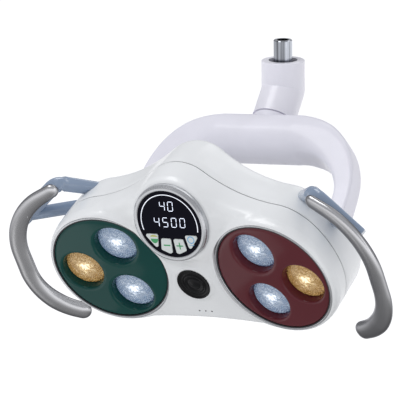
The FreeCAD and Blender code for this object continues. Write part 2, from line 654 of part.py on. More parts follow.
def light_units(side_name, side):
    """Lens and reflector cup of each of the panel's three lamps."""
    frame = HEAD * PANELS[side_name]
    back = "-lens_depth - panel_skin"
    for name, x, y in lens_places(side):
        place = frame * at(x=x, y=y)
        keep(turned(f"lens_body_{side_name}_{name}",
                    [(0, f"{back} - 2"), ("lens_flange", f"{back} - 2"), ("lens_flange", back),
                     ("lens_radius - 0.3", back), ("lens_radius - 0.9", f"{back} + 2"),
                     ("lens_radius - 5", f"{back} + 5"), ("lens_radius - 13", f"{back} + 7.4"),
                     (0, f"{back} + 8.6")]),
             f"lens_{side_name}_{name}", place)
        top, foot = f"{back} - 2", "-board_depth"
        keep(turned(f"reflector_body_{side_name}_{name}",
                    [("lens_flange - 1.5", top), ("lens_flange", top), (20, f"{foot} + 10"), (10, foot),
                     (8.5, foot), (18.5, f"{foot} + 10")]),
             f"reflector_{side_name}_{name}", place)


def light_engine(side_name, side):
    """Circuit board with its emitters, and the finned heat sink behind it."""
    frame = HEAD * PANELS[side_name]
    low, foot = "-board_depth - board_thick", "-board_depth - board_thick - sink_depth"
    keep(cylinder(f"board_disc_{side_name}", "board_radius", low, "-board_depth"), f"led_board_{side_name}",
         frame * at(z=number(low)))
    chips = []
    for name, x, y in lens_places(side):
        chips.append(cylinder(f"chip_{side_name}_{name}", "5", "-board_depth", "-board_depth + 2.5", at(x=x, y=y)))
    keep(group(f"chips_{side_name}", chips), f"led_emitters_{side_name}", frame)
    fins = [box(f"fin_{side_name}_{i}", (-60, 12 * i - 1.2, foot), (60, 12 * i + 1.2, low))
            for i in range(-4, 5)]
    plate = cylinder(f"sink_plate_{side_name}", "sink_radius", f"{low} - 4", low)
    limit = cylinder(f"sink_limit_{side_name}", "sink_radius", foot, low)
    keep(common(f"sink_{side_name}", [fuse(f"sink_fins_{side_name}", fins + [plate]), limit]),
         f"heat_sink_{side_name}", frame)


# ---------------------------------------------------------------- display and sensor

def key_outlines():
    """The four keys under the read-out, in the display's own frame: name and rounded corners."""
    outer = [(17, -12.6), (31.8, -12.6), (32.2, -15.5), (22.5, -28), (19.6, -28)]
    middle = [(1.6, -17.6), (13.8, -17.6), (16, -31), (6.2, -35.4), (2.6, -34.4)]

    def mirrored(corners):
        return [(-x, y) for x, y in reversed(corners)]

    return [("light_key", mirrored(outer)), ("minus_key", mirrored(middle)),
            ("plus_key", middle), ("sensor_key", outer)]


def grown(corners, amount):
    """The corners of a convex outline moved out square to its sides."""
    count = len(corners)
    points = [Vector(x, y, 0) for x, y in corners]
    area = sum(points[i].x * points[(i + 1) % count].y - points[(i + 1) % count].x * points[i].y
               for i in range(count))
    hand = 1 if area > 0 else -1
    lines = []
    for i in range(count):
        along = (points[(i + 1) % count] - points[i]).normalize()
        lines.append((points[i] + Vector(along.y, -along.x, 0) * (hand * amount), along))
    result = []
    for i in range(count):
        (p, u), (q, v) = lines[i - 1], lines[i]
        step = ((q.x - p.x) * v.y - (q.y - p.y) * v.x) / (u.x * v.y - u.y * v.x)
        result.append((round(p.x + u.x * step, 4), round(p.y + u.y * step, 4)))
    return result


def display_unit():
    frame = HEAD * DISPLAY
    keep(turned("bezel_ring", [("window_radius", "0.3"), ("window_radius + 0.8", "1"), ("bezel_radius - 2.5", "1"),
                               ("bezel_radius - 0.6", "-0.6"), ("bezel_radius", "-3"),
                               ("bezel_radius", "-bezel_height"), ("window_radius - 3", "-bezel_height"),
                               ("window_radius - 3", "-window_thick"), ("window_radius", "-window_thick")]),
         "display_bezel", frame)
    openings = []
    board = cylinder("display_board_disc", "window_radius - 3", "-bezel_height + 0.4", "-bezel_height + 2")
    switches = [board, box("digit_block", (-22, -5, "-bezel_height + 1.5"), (25, 28, "-window_thick"))]
    for name, corners in key_outlines():
        openings.append(padded(name + "_opening", grown(corners, number("key_gap")), "-5", "5", "2.3"))
        cap = padded(name + "_cap", corners, "-3", "0.9", "2")
        flange = padded(name + "_flange", grown(corners, 0.9), "-window_thick - 1.2", "-window_thick - 0.1", "2.9")
        keep(fuse(name + "_piece", [cap, flange]), name, frame)
        x = sum(p[0] for p in corners) / len(corners)
        y = sum(p[1] for p in corners) / len(corners)
        switches.append(cylinder(name + "_switch", "2.5", "-bezel_height + 1", "-window_thick - 1.3 - key_travel",
                                 at(x=x, y=y)))
    window = cylinder("window_disc", "window_radius", "-window_thick", "0")
    keep(cut("window", window, *openings), "display_window", frame)
    keep(fuse("display_electronics", switches), "display_board", frame)


def hand_sensor():
    frame = HEAD * SENSOR
    keep(turned("sensor_disc", [(7.2, -3), ("sensor_radius", -3), ("sensor_radius", 0), ("sensor_radius - 2", 0),
                                ("sensor_radius - 3", -0.8), (12.5, -1.2), (12, -0.6), (10.5, -0.6),
                                (10, -1.4), (7.2, -1.4)]), "sensor_cover", frame)
    keep(turned("sensor_dome", [(0, -5), (8.5, -5), (8.5, -3), (7.2, -3), (7.2, -0.8), (4, 0.3), (0, 0.8)]),
         "sensor_lens", frame)
    keep(cylinder("sensor_board_disc", "sensor_radius", -7, -5), "sensor_board", frame * at(z=-7))


def driver_board():
    parts = [box("driver_plate", (-38, -50, -58), (38, 20, -56.4)),
             box("driver_supply", (-28, -40, -56.4), (-4, -6, -44)),
             box("driver_coil", (6, -30, -56.4), (26, -8, -46))]
    for i, (x, y) in enumerate(((-34, -46), (34, -46), (-34, 16), (34, 16))):
        parts.append(cylinder(f"driver_foot_{i}", 3, "-back_depth + rear_wall", -58, at(x=x, y=y)))
    keep(fuse("driver", parts), "driver_board", HEAD)


# ---------------------------------------------------------------- handles

def grip_frame(side):
    """Local X inwards from the grip's outermost line, Y up, in the head's frame."""
    lean = number("grip_lean")
    inwards = Vector(-side * math.cos(math.radians(lean)), 0, -math.sin(math.radians(lean)))
    turn = Rotation(inwards, Y_AXIS, inwards.cross(Y_AXIS), "XYZ")
    return Placement(Vector(side * number("grip_x"), 0, number("grip_z")), turn)


def grip_path(name):
    """Three straight runs joined by two tangent arcs, the middle run along the local Y axis."""
    sketch = doc.addObject("Sketcher::SketchObject", name)
    top = Vector(number("grip_top_in"), number("grip_top"), 0)
    foot = Vector(number("grip_foot_in"), -number("grip_foot"), 0)
    top_rise, foot_rise = math.radians(number("grip_top_angle")), math.radians(number("grip_foot_angle"))
    top_bend, foot_bend = number("grip_top_bend"), number("grip_foot_bend")
    corner_top = Vector(0, top.y - top.x * math.tan(top_rise), 0)
    corner_foot = Vector(0, foot.y + foot.x * math.tan(foot_rise), 0)
    top_reach = top_bend * math.tan((math.pi / 2 - top_rise) / 2)
    foot_reach = foot_bend * math.tan((math.pi / 2 - foot_rise) / 2)
    points = [top, corner_top + (top - corner_top).normalize() * top_reach, corner_top - Y_AXIS * top_reach,
              corner_foot + Y_AXIS * foot_reach, corner_foot + (foot - corner_foot).normalize() * foot_reach, foot]
    runs = [sketch.addGeometry(Part.LineSegment(points[i], points[i + 1]), False) for i in (0, 2, 4)]
    arcs = []
    for radius, level, first, last in (
            ("grip_top_bend", points[2].y, math.pi / 2 + top_rise, math.pi),
            ("grip_foot_bend", points[3].y, math.pi, 1.5 * math.pi - foot_rise)):
        circle = Part.Circle(Vector(number(radius), level, 0), Z_AXIS, number(radius))
        arcs.append(sketch.addGeometry(Part.ArcOfCircle(circle, first, last), False))
        fixed = sketch.addConstraint(Sketcher.Constraint("Radius", arcs[-1], number(radius)))
        sketch.setExpression(f"Constraints[{fixed}]", in_sheet(radius))
    for first, first_end, second, second_end in ((runs[0], 2, arcs[0], 1), (arcs[0], 2, runs[1], 1),
                                                 (runs[1], 2, arcs[1], 1), (arcs[1], 2, runs[2], 1)):
        sketch.addConstraint(Sketcher.Constraint("Tangent", first, first_end, second, second_end))
    for run, end, across, up in ((runs[0], 1, "grip_top_in", "grip_top"), (runs[2], 2, "grip_foot_in", "-grip_foot")):
        for kind, formula in (("DistanceX", across), ("DistanceY", up)):
            fixed = sketch.addConstraint(Sketcher.Constraint(kind, run, end, number(formula)))
            sketch.setExpression(f"Constraints[{fixed}]", in_sheet(formula))
    for end in (1, 2):
        sketch.addConstraint(Sketcher.Constraint("PointOnObject", runs[1], end, -2))
    return sketch, top, foot, (corner_top - top).normalize()


def handle_bar(side_name, side):
    """The bent grip: a flattened bar swept along its path, with rounded ends."""
    path, top, foot, start = grip_path(f"grip_path_{side_name}")
    section = bind(doc.addObject("Part::Ellipse", f"grip_section_{side_name}"),
                   MajorRadius="grip_wide", MinorRadius="grip_deep")
    across = start.cross(Z_AXIS)
    section.Placement = Placement(top, Rotation(across, start.cross(across), start, "ZXY"))
    bar = doc.addObject("Part::Sweep", f"grip_sweep_{side_name}")
    bar.Sections = [section]
    doc.recompute()
    bar.Spine = (path, [f"Edge{i + 1}" for i in range(len(path.Shape.Edges))])
    bar.Solid = True
    pieces = [bar]
    for i, point in enumerate((top, foot)):
        end = bind(doc.addObject("Part::Ellipsoid", f"grip_end_{side_name}_{i}"),
                   Radius1="grip_deep", Radius2="grip_wide", Radius3="grip_wide")
        end.Placement = Placement(point, Rotation())
        pieces.append(end)
    handle = fuse(f"handle_bar_{side_name}", pieces)
    handle.Placement = grip_frame(side)
    return handle


def bracket_points(side):
    """The bracket's corners: upper foot, the two ends of the bar behind the grip, lower foot."""
    points = [(133, 61, -64), (169, 86, -36), (210, 54, -22), (155, 39, -64)]
    return [Vector(side * x, y, z) for x, y, z in points]


def beam(name, start, end, side):
    """A straight bar with a rounded rectangular section between two points of the head's frame."""
    half_wide, half_deep = "bracket_wide / 2", "bracket_deep / 2"
    section = [(half_wide, half_deep), ("-" + half_wide, half_deep),
               ("-" + half_wide, "-" + half_deep), (half_wide, "-" + half_deep)]
    along = end - start
    bar = padded(name, section, "0", str(round(along.Length, 3)), "bracket_edge")
    across = along.cross(Vector(side * 0.55, 0.45, 0.7))
    bar.Placement = Placement(start, Rotation(across, Vector(), along, "ZXY"))
    return bar


def handle_set(side_name, side):
    """Grip, its bracket and the two screws between them."""
    upper_foot, upper, lower, lower_foot = bracket_points(side)
    along = (lower - upper).normalize() * number("bracket_overhang")
    bars = [beam(f"bracket_front_{side_name}", upper - along, lower + along, side),
            beam(f"bracket_upper_{side_name}", upper_foot, upper, side),
            beam(f"bracket_lower_{side_name}", lower_foot, lower, side)]
    screws = []
    for i, share in enumerate((0.2, 0.8)):
        screw = turned(f"grip_screw_{side_name}_{i}",
                       [(0, -6.2), (3.5, -6.2), (3.5, -3.2), (2, -3.2), (2, 14), (0, 14)])
        screw.Placement = Placement(upper + (lower - upper) * share, Rotation())
        screws.append(screw)
    screw_set = fuse(f"grip_screws_{side_name}", screws)
    bar = handle_bar(side_name, side)
    keep(cut(f"handle_{side_name}_bar", bar, screw_set), f"handle_{side_name}", HEAD)
    head_form = common(f"bracket_limit_{side_name}",
                       [column(f"bracket_column_{side_name}", "0"),
                        side_wedge(f"bracket_back_{side_name}", back_corners(0))])
    keep(cut(f"bracket_{side_name}", fuse(f"bracket_bars_{side_name}", bars), bar, head_form, screw_set),
         f"handle_bracket_{side_name}", HEAD)
    return screws


# ---------------------------------------------------------------- build

def build():
    mounting_post()
    post_bearing()
    post_lock_screw()
    knuckle_housing()
    swivel_bearing()
    yoke()
    tilt_hardware()
    front_housing()
    rear_housing()
    seam_gasket()
    housing_screws()
    screws = []
    for side_name, side in SIDES:
        lamp_panel(side_name, side)
        panel_rings(side_name)
        light_units(side_name, side)
        light_engine(side_name, side)
        screws += handle_set(side_name, side)
    keep(group("handle_screw_group", screws), "handle_screws", HEAD)
    display_unit()
    hand_sensor()
    driver_board()


def check():
    """Stops the build if any object failed or any sub-part has no valid shape."""
    doc.recompute()
    failed = [thing.Name for thing in doc.Objects if "Invalid" in thing.State or "Error" in thing.State]
    failed += [thing.Label for thing in SUBPARTS if thing.Shape.isNull() or not thing.Shape.isValid()]
    if failed:
        raise SystemExit("failed: " + ", ".join(failed))


def export():
    os.makedirs("parts", exist_ok=True)
    for thing in SUBPARTS:
        thing.Shape.exportStep(f"parts/{thing.Label}.step")
    print(len(SUBPARTS), "sub-parts")


build()
check()
export()
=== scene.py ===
# Dental operating light: smooth housings, glossy panels, lit lenses and read-out around the CAD frame.

import json
import math

import bpy
import numpy as np
from mathutils import Matrix, Vector, geometry


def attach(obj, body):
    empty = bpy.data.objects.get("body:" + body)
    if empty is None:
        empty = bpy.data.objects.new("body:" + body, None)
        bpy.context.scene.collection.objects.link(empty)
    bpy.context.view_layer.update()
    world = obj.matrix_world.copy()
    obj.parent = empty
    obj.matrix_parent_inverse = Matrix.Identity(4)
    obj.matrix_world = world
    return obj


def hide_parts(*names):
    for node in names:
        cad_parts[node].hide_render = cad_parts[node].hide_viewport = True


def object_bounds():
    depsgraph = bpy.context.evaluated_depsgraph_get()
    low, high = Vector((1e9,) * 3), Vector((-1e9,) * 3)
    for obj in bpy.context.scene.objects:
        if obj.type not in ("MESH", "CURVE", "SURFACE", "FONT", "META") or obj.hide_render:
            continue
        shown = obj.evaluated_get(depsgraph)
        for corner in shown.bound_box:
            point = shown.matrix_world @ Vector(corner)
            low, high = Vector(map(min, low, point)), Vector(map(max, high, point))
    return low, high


MM = 0.001

# ---- sizes, in millimetres and degrees

# outline of the head: two lobes, the crown over the display, and the arcs between them
LOBE_OFFSET, LOBE_RADIUS = 104.1, 77
CROWN_HEIGHT, CROWN_RADIUS = 68, 52
FLANK_RADIUS, BELLY_RADIUS = 190, 700
# depth of the seam and of the back, where each starts to slope, how steeply and how softly
SEAM_DEPTH, SEAM_BEND, SEAM_SLOPE, SEAM_EASE, SEAM_GAP = 21, 35, 16.1, 11, 1
BACK_DEPTH, BACK_BEND, BACK_SLOPE, BACK_EASE, BACK_ROUND = 74, 62, 27, 7, 12
# the front between the panels, as (height on the face, level)
DECK = ((-82, -4), (-70, -3.5), (-50, -3), (-30, -3), (0, -2.5), (45, -1.5), (90, -9), (125, -24))
TOE_IN = 4.39
PANEL_RADIUS, PANEL_OPENING, PANEL_SKIN = 68.6, 72.3, 2
DISPLAY_Y, DISPLAY_Z, DISPLAY_TILT, BEZEL_RADIUS, BEZEL_HEIGHT = 72.8, 5.5, 12.4, 45.5, 9
SENSOR_Y, SENSOR_Z, SENSOR_RADIUS = -15, 1.4, 20
DOT_Y, DOT_SPACING, DOT_RADIUS = -57, 8, 0.8
LENS_RADIUS, LENS_DEPTH = 24.3, 8.65
LENSES = {"upper": (-16.1, 31.3), "lower": (-16.1, -35.5), "outer": (36.9, -3.6)}
# wall of a lens well, as (distance from the lens, level)
WELL = ((0, -LENS_DEPTH), (0.35, -6.2), (0.7, -3.9), (1.1, -2.1), (1.7, -0.9), (2.5, -0.3),
        (3.4, -0.05), (4.4, 0))
# grips, in a leaning plane: (reach inwards, height) of each end, splay, bend and end cap of each half
GRIP_X, GRIP_Z, GRIP_LEAN = 227, -8.2, 16
GRIP_TOP, GRIP_FOOT = (63, 87.2), (45.5, -84)
GRIP_SPLAY, GRIP_BENDS, GRIP_ENDS = (23, 26), (80, 71), (9, 11)
# half width and half depth of a grip, as (share of its length, half size)
GRIP_WIDE = ((0, 8.4), (0.12, 9.6), (0.35, 10.4), (0.7, 10.8), (0.85, 11.8), (1, 11))
GRIP_DEEP = ((0, 5), (0.2, 5.3), (0.6, 5.6), (0.85, 7), (1, 7))
# corners of a bracket: upper foot, bend, end at the grip, lower foot
BRACKET = ((133, 61, -64), (169, 86, -36), (210, 54, -22), (155, 39, -64))
UPPER_ARM_HALF, LOWER_ARM_HALF = (7.8, 6.8), (7.4, 6.4)
# tilt axis in the head, and the lugs round it
TILT_REST, TILT_HEIGHT, TILT_BACK = 22, -16, 111.6
EAR_RADIUS, EAR_BORE, EAR_ROOT, EAR_INNER, EAR_OUTER = 15, 9, 40, 100, 117.4
REAR_SCREWS = ((52, 70), (36, -58))
# yoke: a round bar that flattens into two arms
YOKE_OFFSET, ARM_X, ARM_LENGTH, YOKE_BEND, BAR_RADIUS = 10, 129, 112, 78, 29
ARM_HALF_WIDE, ARM_HALF_DEEP, ARM_POWER = 10, 14, 10
# the way from bar to arm, as (distance from the middle, share)
YOKE_SLIMMING = ((51, 0), (84, 0.3), (110.7, 0.66), (125.2, 0.9), (128.9, 1))
BOSS_BORE, BOSS_RADIUS, BOSS_TOP = 11, 24, -32.4
SIDES = (("left", -1), ("right", 1))

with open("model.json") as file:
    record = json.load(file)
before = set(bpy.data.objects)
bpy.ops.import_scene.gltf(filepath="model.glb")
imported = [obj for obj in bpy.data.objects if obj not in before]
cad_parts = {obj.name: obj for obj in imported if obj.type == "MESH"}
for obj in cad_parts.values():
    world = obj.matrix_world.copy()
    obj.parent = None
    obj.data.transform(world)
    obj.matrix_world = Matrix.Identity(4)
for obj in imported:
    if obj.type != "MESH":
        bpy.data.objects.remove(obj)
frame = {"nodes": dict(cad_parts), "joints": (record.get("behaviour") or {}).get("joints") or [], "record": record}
CAD_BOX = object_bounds()
NODES = frame["nodes"]
JOINTS = {joint["name"]: joint for joint in frame["joints"]}


# ---- frames

def shift(x=0, y=0, z=0):
    return Matrix.Translation(Vector((x, y, z)) * MM)


def turn(axis, degrees):
    return Matrix.Rotation(math.radians(degrees), 4, axis)


def axes_at(point, x_axis, z_axis):
    """A frame from a point in metres, its X axis and its Z axis."""
    z = Vector(z_axis).normalized()
    x = Vector(x_axis).normalized()
    columns = Matrix((x, z.cross(x), z)).transposed().to_4x4()
    return Matrix.Translation(Vector(point)) @ columns


YOKE = axes_at(JOINTS["yoke_swivel"]["pos_m"], JOINTS["head_tilt"]["axis"], JOINTS["yoke_swivel"]["axis"])
TILT = YOKE @ shift(0, YOKE_OFFSET, ARM_LENGTH)
HEAD = TILT @ turn("X", -TILT_REST) @ shift(0, -TILT_HEIGHT, TILT_BACK)
DISPLAY = HEAD @ shift(0, DISPLAY_Y, DISPLAY_Z) @ turn("X", -DISPLAY_TILT)
SENSOR = HEAD @ shift(0, SENSOR_Y, SENSOR_Z)
PANELS = {name: HEAD @ shift(side * LOBE_OFFSET) @ turn("Y", -side * TOE_IN) for name, side in SIDES}


# ---- materials

def new_material(name):
    """A material with its node tree and its shader."""
    material = bpy.data.materials.new(name)
    material.use_nodes = True
    tree = material.node_tree
    return material, tree, tree.nodes["Principled BSDF"]


def put(node, **values):
    """Sets inputs by name, with underscores for spaces."""
    for name, value in values.items():
        node.inputs[name.replace("_", " ")].default_value = value


def added(tree, kind, **values):
    """A new node with its inputs set."""
    node = tree.nodes.new("ShaderNode" + kind)
    put(node, **values)
    return node


def object_space(tree, stretch=(1, 1, 1)):
    """Object coordinates in metres, stretched along the object's axes."""
    coordinates = added(tree, "TexCoord")
    mapping = added(tree, "Mapping", Scale=stretch)
    tree.links.new(coordinates.outputs["Object"], mapping.inputs["Vector"])
    return mapping.outputs["Vector"]


def noise(tree, vector, scale, detail=3):
    """Soft noise from 0 to 1."""
    texture = added(tree, "TexNoise", Scale=scale, Detail=detail)
    tree.links.new(vector, texture.inputs["Vector"])
    return texture.outputs["Fac"]


def ramp(tree, factor, stops):
    """A colour ramp through (position, colour) stops."""
    node = added(tree, "ValToRGB")
    elements = node.color_ramp.elements
    while len(elements) < len(stops):
        elements.new(0.5)
    for element, (position, colour) in zip(elements, stops):
        element.position = position
        element.color = (*colour, 1)
    tree.links.new(factor, node.inputs["Fac"])
    return node.outputs["Color"]


def span(tree, value, low, high):
    """A value from 0 to 1 stretched to low and high."""
    node = added(tree, "MapRange", To_Min=low, To_Max=high)
    tree.links.new(value, node.inputs["Value"])
    return node.outputs["Result"]


def bumped(tree, height, shader, distance):
    """Gives the shader a relief of a height, in metres."""
    bump = added(tree, "Bump", Strength=1, Distance=distance)
    tree.links.new(height, bump.inputs["Height"])
    tree.links.new(bump.outputs["Normal"], shader.inputs["Normal"])


def finish(name, colour, roughness, metallic=0.0, coat=0.0, shine=0.5, vary=0.06, grain=900, depth=0.00002,
           stretch=(1, 1, 1), drift=14):
    """A moulded, painted or machined surface: slow colour drift, fine grain in gloss and relief. A large vary with
    a long stretch turns the drift into painted reflection streaks, as on the chrome post.
    Grain and drift are the scales of the fine and the slow noise, and depth is the relief in metres."""
    material, tree, shader = new_material(name)
    space = object_space(tree, stretch)
    darker = [c * (1 - vary) for c in colour]
    lighter = [min(1, c * (1 + vary / 2)) for c in colour]
    slow = noise(tree, space, drift)
    tree.links.new(ramp(tree, slow, ((0.3, darker), (0.7, lighter))), shader.inputs["Base Color"])
    fine = noise(tree, space, grain, 2)
    tree.links.new(span(tree, fine, roughness * 0.8, roughness * 1.2), shader.inputs["Roughness"])
    put(shader, Metallic=metallic, Specular_IOR_Level=shine, Coat_Weight=coat, Coat_Roughness=0.05)
    bumped(tree, fine, shader, depth)
    return material


def painted_reflection_shading(material, stops):
    """Paints reflection into a satin tube's colour: a bright middle line and dark sides, as a room with dark
    corners would reflect in it.
    """
    tree = material.node_tree
    base = tree.nodes["Principled BSDF"].inputs["Base Color"]
    weight = added(tree, "LayerWeight", Blend=0.5)
    shade = added(tree, "Mix")
    shade.data_type = "RGBA"
    shade.blend_type = "MULTIPLY"
    put(shade, Factor=1)
    tree.links.new(base.links[0].from_socket, shade.inputs["A"])
    tree.links.new(ramp(tree, weight.outputs["Facing"], stops), shade.inputs["B"])
    tree.links.new(shade.outputs["Result"], base)
    return material


def arithmetic(tree, operation, first, second, third=None):
    """A maths node whose inputs are sockets or plain numbers."""
    node = added(tree, "Math")
    node.operation = operation
    for socket, value in zip(node.inputs, (first, second, third)):
        if isinstance(value, (int, float)):
            socket.default_value = value
        elif value is not None:
            tree.links.new(value, socket)
    return node.outputs["Value"]


def lens_material(name, shades, lights):
    """A moulded lens: spokes and rings of fine prisms, brightest where the emitter sits behind it.
    The shades and the lights are colours from the middle outwards."""
    spoke_count, ring_count, cell_scale, cloud_scale = 30, 44, 480, 130
    material, tree, shader = new_material(name)
    space = object_space(tree)
    split = added(tree, "SeparateXYZ")
    tree.links.new(space, split.inputs["Vector"])
    angle = arithmetic(tree, "ARCTAN2", split.outputs["Y"], split.outputs["X"])
    across = arithmetic(tree, "MULTIPLY", split.outputs["X"], split.outputs["X"])
    squared = arithmetic(tree, "MULTIPLY_ADD", split.outputs["Y"], split.outputs["Y"], across)
    radius = arithmetic(tree, "SQRT", squared, 0)
    share = arithmetic(tree, "MULTIPLY", radius, 1 / (LENS_RADIUS * MM))
    spokes = arithmetic(tree, "SINE", arithmetic(tree, "MULTIPLY", angle, spoke_count), 0)
    rings = arithmetic(tree, "SINE", arithmetic(tree, "MULTIPLY", share, ring_count), 0)
    facets = arithmetic(tree, "MULTIPLY", spokes, rings)
    cells = added(tree, "TexVoronoi", Scale=cell_scale)
    tree.links.new(space, cells.inputs["Vector"])
    sparkle = added(tree, "SeparateColor")
    tree.links.new(cells.outputs["Color"], sparkle.inputs["Color"])
    cloud = span(tree, noise(tree, space, cloud_scale), -0.2, 0.2)
    uneven = arithmetic(tree, "ADD", share, cloud)
    prisms = arithmetic(tree, "MULTIPLY_ADD", facets, 0.2, uneven)
    spread = span(tree, sparkle.outputs["Red"], -0.36, 0.22)
    shade = arithmetic(tree, "ADD", prisms, spread)
    light = arithmetic(tree, "MULTIPLY_ADD", spread, 0.35, prisms)
    tree.links.new(ramp(tree, shade, shades), shader.inputs["Base Color"])
    tree.links.new(ramp(tree, light, lights), shader.inputs["Emission Color"])
    put(shader, Emission_Strength=1.2, Roughness=0.12, Coat_Weight=0.6, Coat_Roughness=0.03)
    bumped(tree, facets, shader, 0.0005)
    return material


def lit_material(name, colour, strength):
    """A lit surface, with a faint unevenness."""
    material, tree, shader = new_material(name)
    space = object_space(tree)
    dimmer = [c * 0.85 for c in colour]
    tint = ramp(tree, noise(tree, space, 300), ((0.3, dimmer), (0.7, colour)))
    tree.links.new(tint, shader.inputs["Base Color"])
    tree.links.new(tint, shader.inputs["Emission Color"])
    put(shader, Emission_Strength=strength, Roughness=0.3)
    return material


# colours of the lenses from the middle outwards, as (share of the radius, colour)
CLEAR_SHADES = ((0, (0.85, 0.9, 0.95)), (0.3, (0.55, 0.62, 0.7)), (0.65, (0.33, 0.42, 0.55)),
                (0.9, (0.26, 0.36, 0.5)), (1, (0.6, 0.74, 0.86)))
CLEAR_LIGHTS = ((0, (1, 1, 1)), (0.09, (0.6, 0.7, 0.85)), (0.25, (0.07, 0.1, 0.15)), (1, (0.01, 0.02, 0.05)))
AMBER_SHADES = ((0, (1, 0.85, 0.55)), (0.3, (0.75, 0.52, 0.25)), (0.65, (0.5, 0.3, 0.11)),
                (0.9, (0.42, 0.22, 0.06)), (1, (0.85, 0.55, 0.2)))
AMBER_LIGHTS = ((0, (1, 0.97, 0.8)), (0.09, (0.9, 0.65, 0.32)), (0.25, (0.12, 0.07, 0.02)),
                (1, (0.04, 0.02, 0.003)))
# painted reflection on a grip, multiplied into its colour from its bright middle line to its dark sides
GRIP_PAINTED_REFLECTION = ((0.05, (0.8, 0.8, 0.8)), (0.3, (0.5, 0.5, 0.5)), (0.6, (0.16, 0.16, 0.17)),
               (0.9, (0.4, 0.4, 0.42)))
GLOSSY = {"coat": 0.15, "shine": 0.2, "grain": 200, "depth": 0.00001}
MATERIALS = {
    # painted reflection: the strong colour drift, stretched along the post, paints streaks of reflection into the
    # chrome's colour
    "chrome_post": finish("chrome", (0.42, 0.44, 0.48), 0.14, 1, vary=0.85, stretch=(1, 1, 0.02), drift=150),
    "elbow_paint": finish("elbow_paint", (0.86, 0.85, 0.92), 0.36, coat=0.35),
    "bearing_plastic": finish("bearing_plastic", (0.12, 0.12, 0.14), 0.5),
    "bearing_bronze": finish("bearing_bronze", (0.55, 0.4, 0.2), 0.35, 1),
    "steel_hardware": finish("steel_hardware", (0.5, 0.51, 0.53), 0.3, 1),
    "yoke_gloss": finish("yoke_gloss", (0.86, 0.85, 0.93), 0.42, coat=0.2, depth=0.00003),
    "head_white": finish("head_white", (0.89, 0.905, 0.915), 0.3, coat=0.35),
    "dark_rubber": finish("dark_rubber", (0.03, 0.03, 0.035), 0.6),
    # the grips' colour carries painted reflection: a bright middle line and dark sides
    "grip_metal": painted_reflection_shading(finish("grip_metal", (0.8, 0.8, 0.82), 0.24, 1, grain=1500, depth=0.00001),
                              GRIP_PAINTED_REFLECTION),
    "bracket_gloss": finish("bracket_gloss", (0.25, 0.325, 0.45), 0.22, coat=1, depth=0.00001),
    "panel_green": finish("panel_green", (0.001, 0.055, 0.048), 0.1, **GLOSSY),
    "panel_red": finish("panel_red", (0.11, 0.016, 0.023), 0.1, **GLOSSY),
    "trim_silver": finish("trim_silver", (0.6, 0.61, 0.63), 0.26, 1, grain=1200),
    "lens_clear": lens_material("lens_clear", CLEAR_SHADES, CLEAR_LIGHTS),
    "lens_amber": lens_material("lens_amber", AMBER_SHADES, AMBER_LIGHTS),
    "reflector_mirror": finish("reflector_mirror", (0.8, 0.81, 0.82), 0.1, 1),
    "emitter": lit_material("emitter", (1, 0.9, 0.55), 1.0),
    "board_green": finish("board_green", (0.02, 0.14, 0.06), 0.4, vary=0.3),
    "sink_aluminium": finish("sink_aluminium", (0.5, 0.51, 0.52), 0.4, 1),
    "display_black": finish("display_black", (0.003, 0.003, 0.008), 0.08, shine=0.06, grain=300,
                            depth=0.000005),
    "key_grey": finish("key_grey", (0.72, 0.76, 0.75), 0.35),
    "sensor_black": finish("sensor_black", (0.008, 0.008, 0.009), 0.2, shine=0.15),
}
DIGIT_LIGHT = lit_material("digit_light", (0.8, 0.86, 1), 0.9)
ARC_LIGHT = lit_material("arc_light", (0.85, 0.88, 0.95), 0.6)
KEY_GREEN = finish("key_green", (0.05, 0.36, 0.13), 0.4, vary=0.15)
KEY_LIME = finish("key_lime", (0.5, 0.5, 0.12), 0.4, vary=0.15)
KEY_BLUE = finish("key_blue", (0.2, 0.45, 0.7), 0.4, vary=0.15)


# ---- mesh building

class Shape:
    """Points in millimetres and the faces between them."""

    def __init__(self):
        self.points = []
        self.faces = []

    def add(self, points):
        """Adds points and returns their indices."""
        first = len(self.points)
        self.points.extend(tuple(float(c) for c in point) for point in points)
        return list(range(first, len(self.points)))

    def strip(self, first, second, closed=True):
        """Quads between two rows of points of the same length."""
        count = len(first)
        for i in range(count if closed else count - 1):
            following = (i + 1) % count
            self.faces.append((first[i], first[following], second[following], second[i]))

    def rows(self, rows, closed=True):
        """Adds rows of points with a strip between each and the next, and returns their indices."""
        indices = [self.add(row) for row in rows]
        for first, second in zip(indices, indices[1:]):
            self.strip(first, second, closed)
        return indices

    def cap(self, loop, reverse=False):
        self.faces.append(tuple(reversed(loop)) if reverse else tuple(loop))

    def loft(self, rows):
        """Adds closed rows of points, joined and capped at both ends."""
        indices = self.rows(rows)
        self.cap(indices[0], True)
        self.cap(indices[-1])

    def flip(self):
        """Turns every face to the other side."""
        self.faces = [tuple(reversed(face)) for face in self.faces]

    def join(self, other):
        """Adds another shape's points and faces."""
        offset = len(self.points)
        self.points.extend(other.points)
        self.faces.extend(tuple(i + offset for i in face) for face in other.faces)


def new_object(name, data):
    """An object in the scene."""
    item = bpy.data.objects.new(name, data)
    bpy.context.scene.collection.objects.link(item)
    return item


def make_piece(name, shape, place, body, slot, material=None, replaces=(), angle=40, own_axes=False):
    """Puts a shape into the scene on a body, its points in the row frame unless it keeps its own axes."""
    mesh = bpy.data.meshes.new(name)
    mesh.from_pydata([tuple(c * MM for c in point) for point in shape.points], [], shape.faces)
    if not own_axes:
        mesh.transform(place)
    mesh.update()
    mesh.materials.append(material or MATERIALS[slot])
    piece = new_object(name, mesh)
    if own_axes:
        piece.matrix_world = place
    mesh.shade_smooth()
    mesh.set_sharp_from_angle(angle=math.radians(angle))
    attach(piece, body)
    if replaces:
        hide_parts(*replaces)


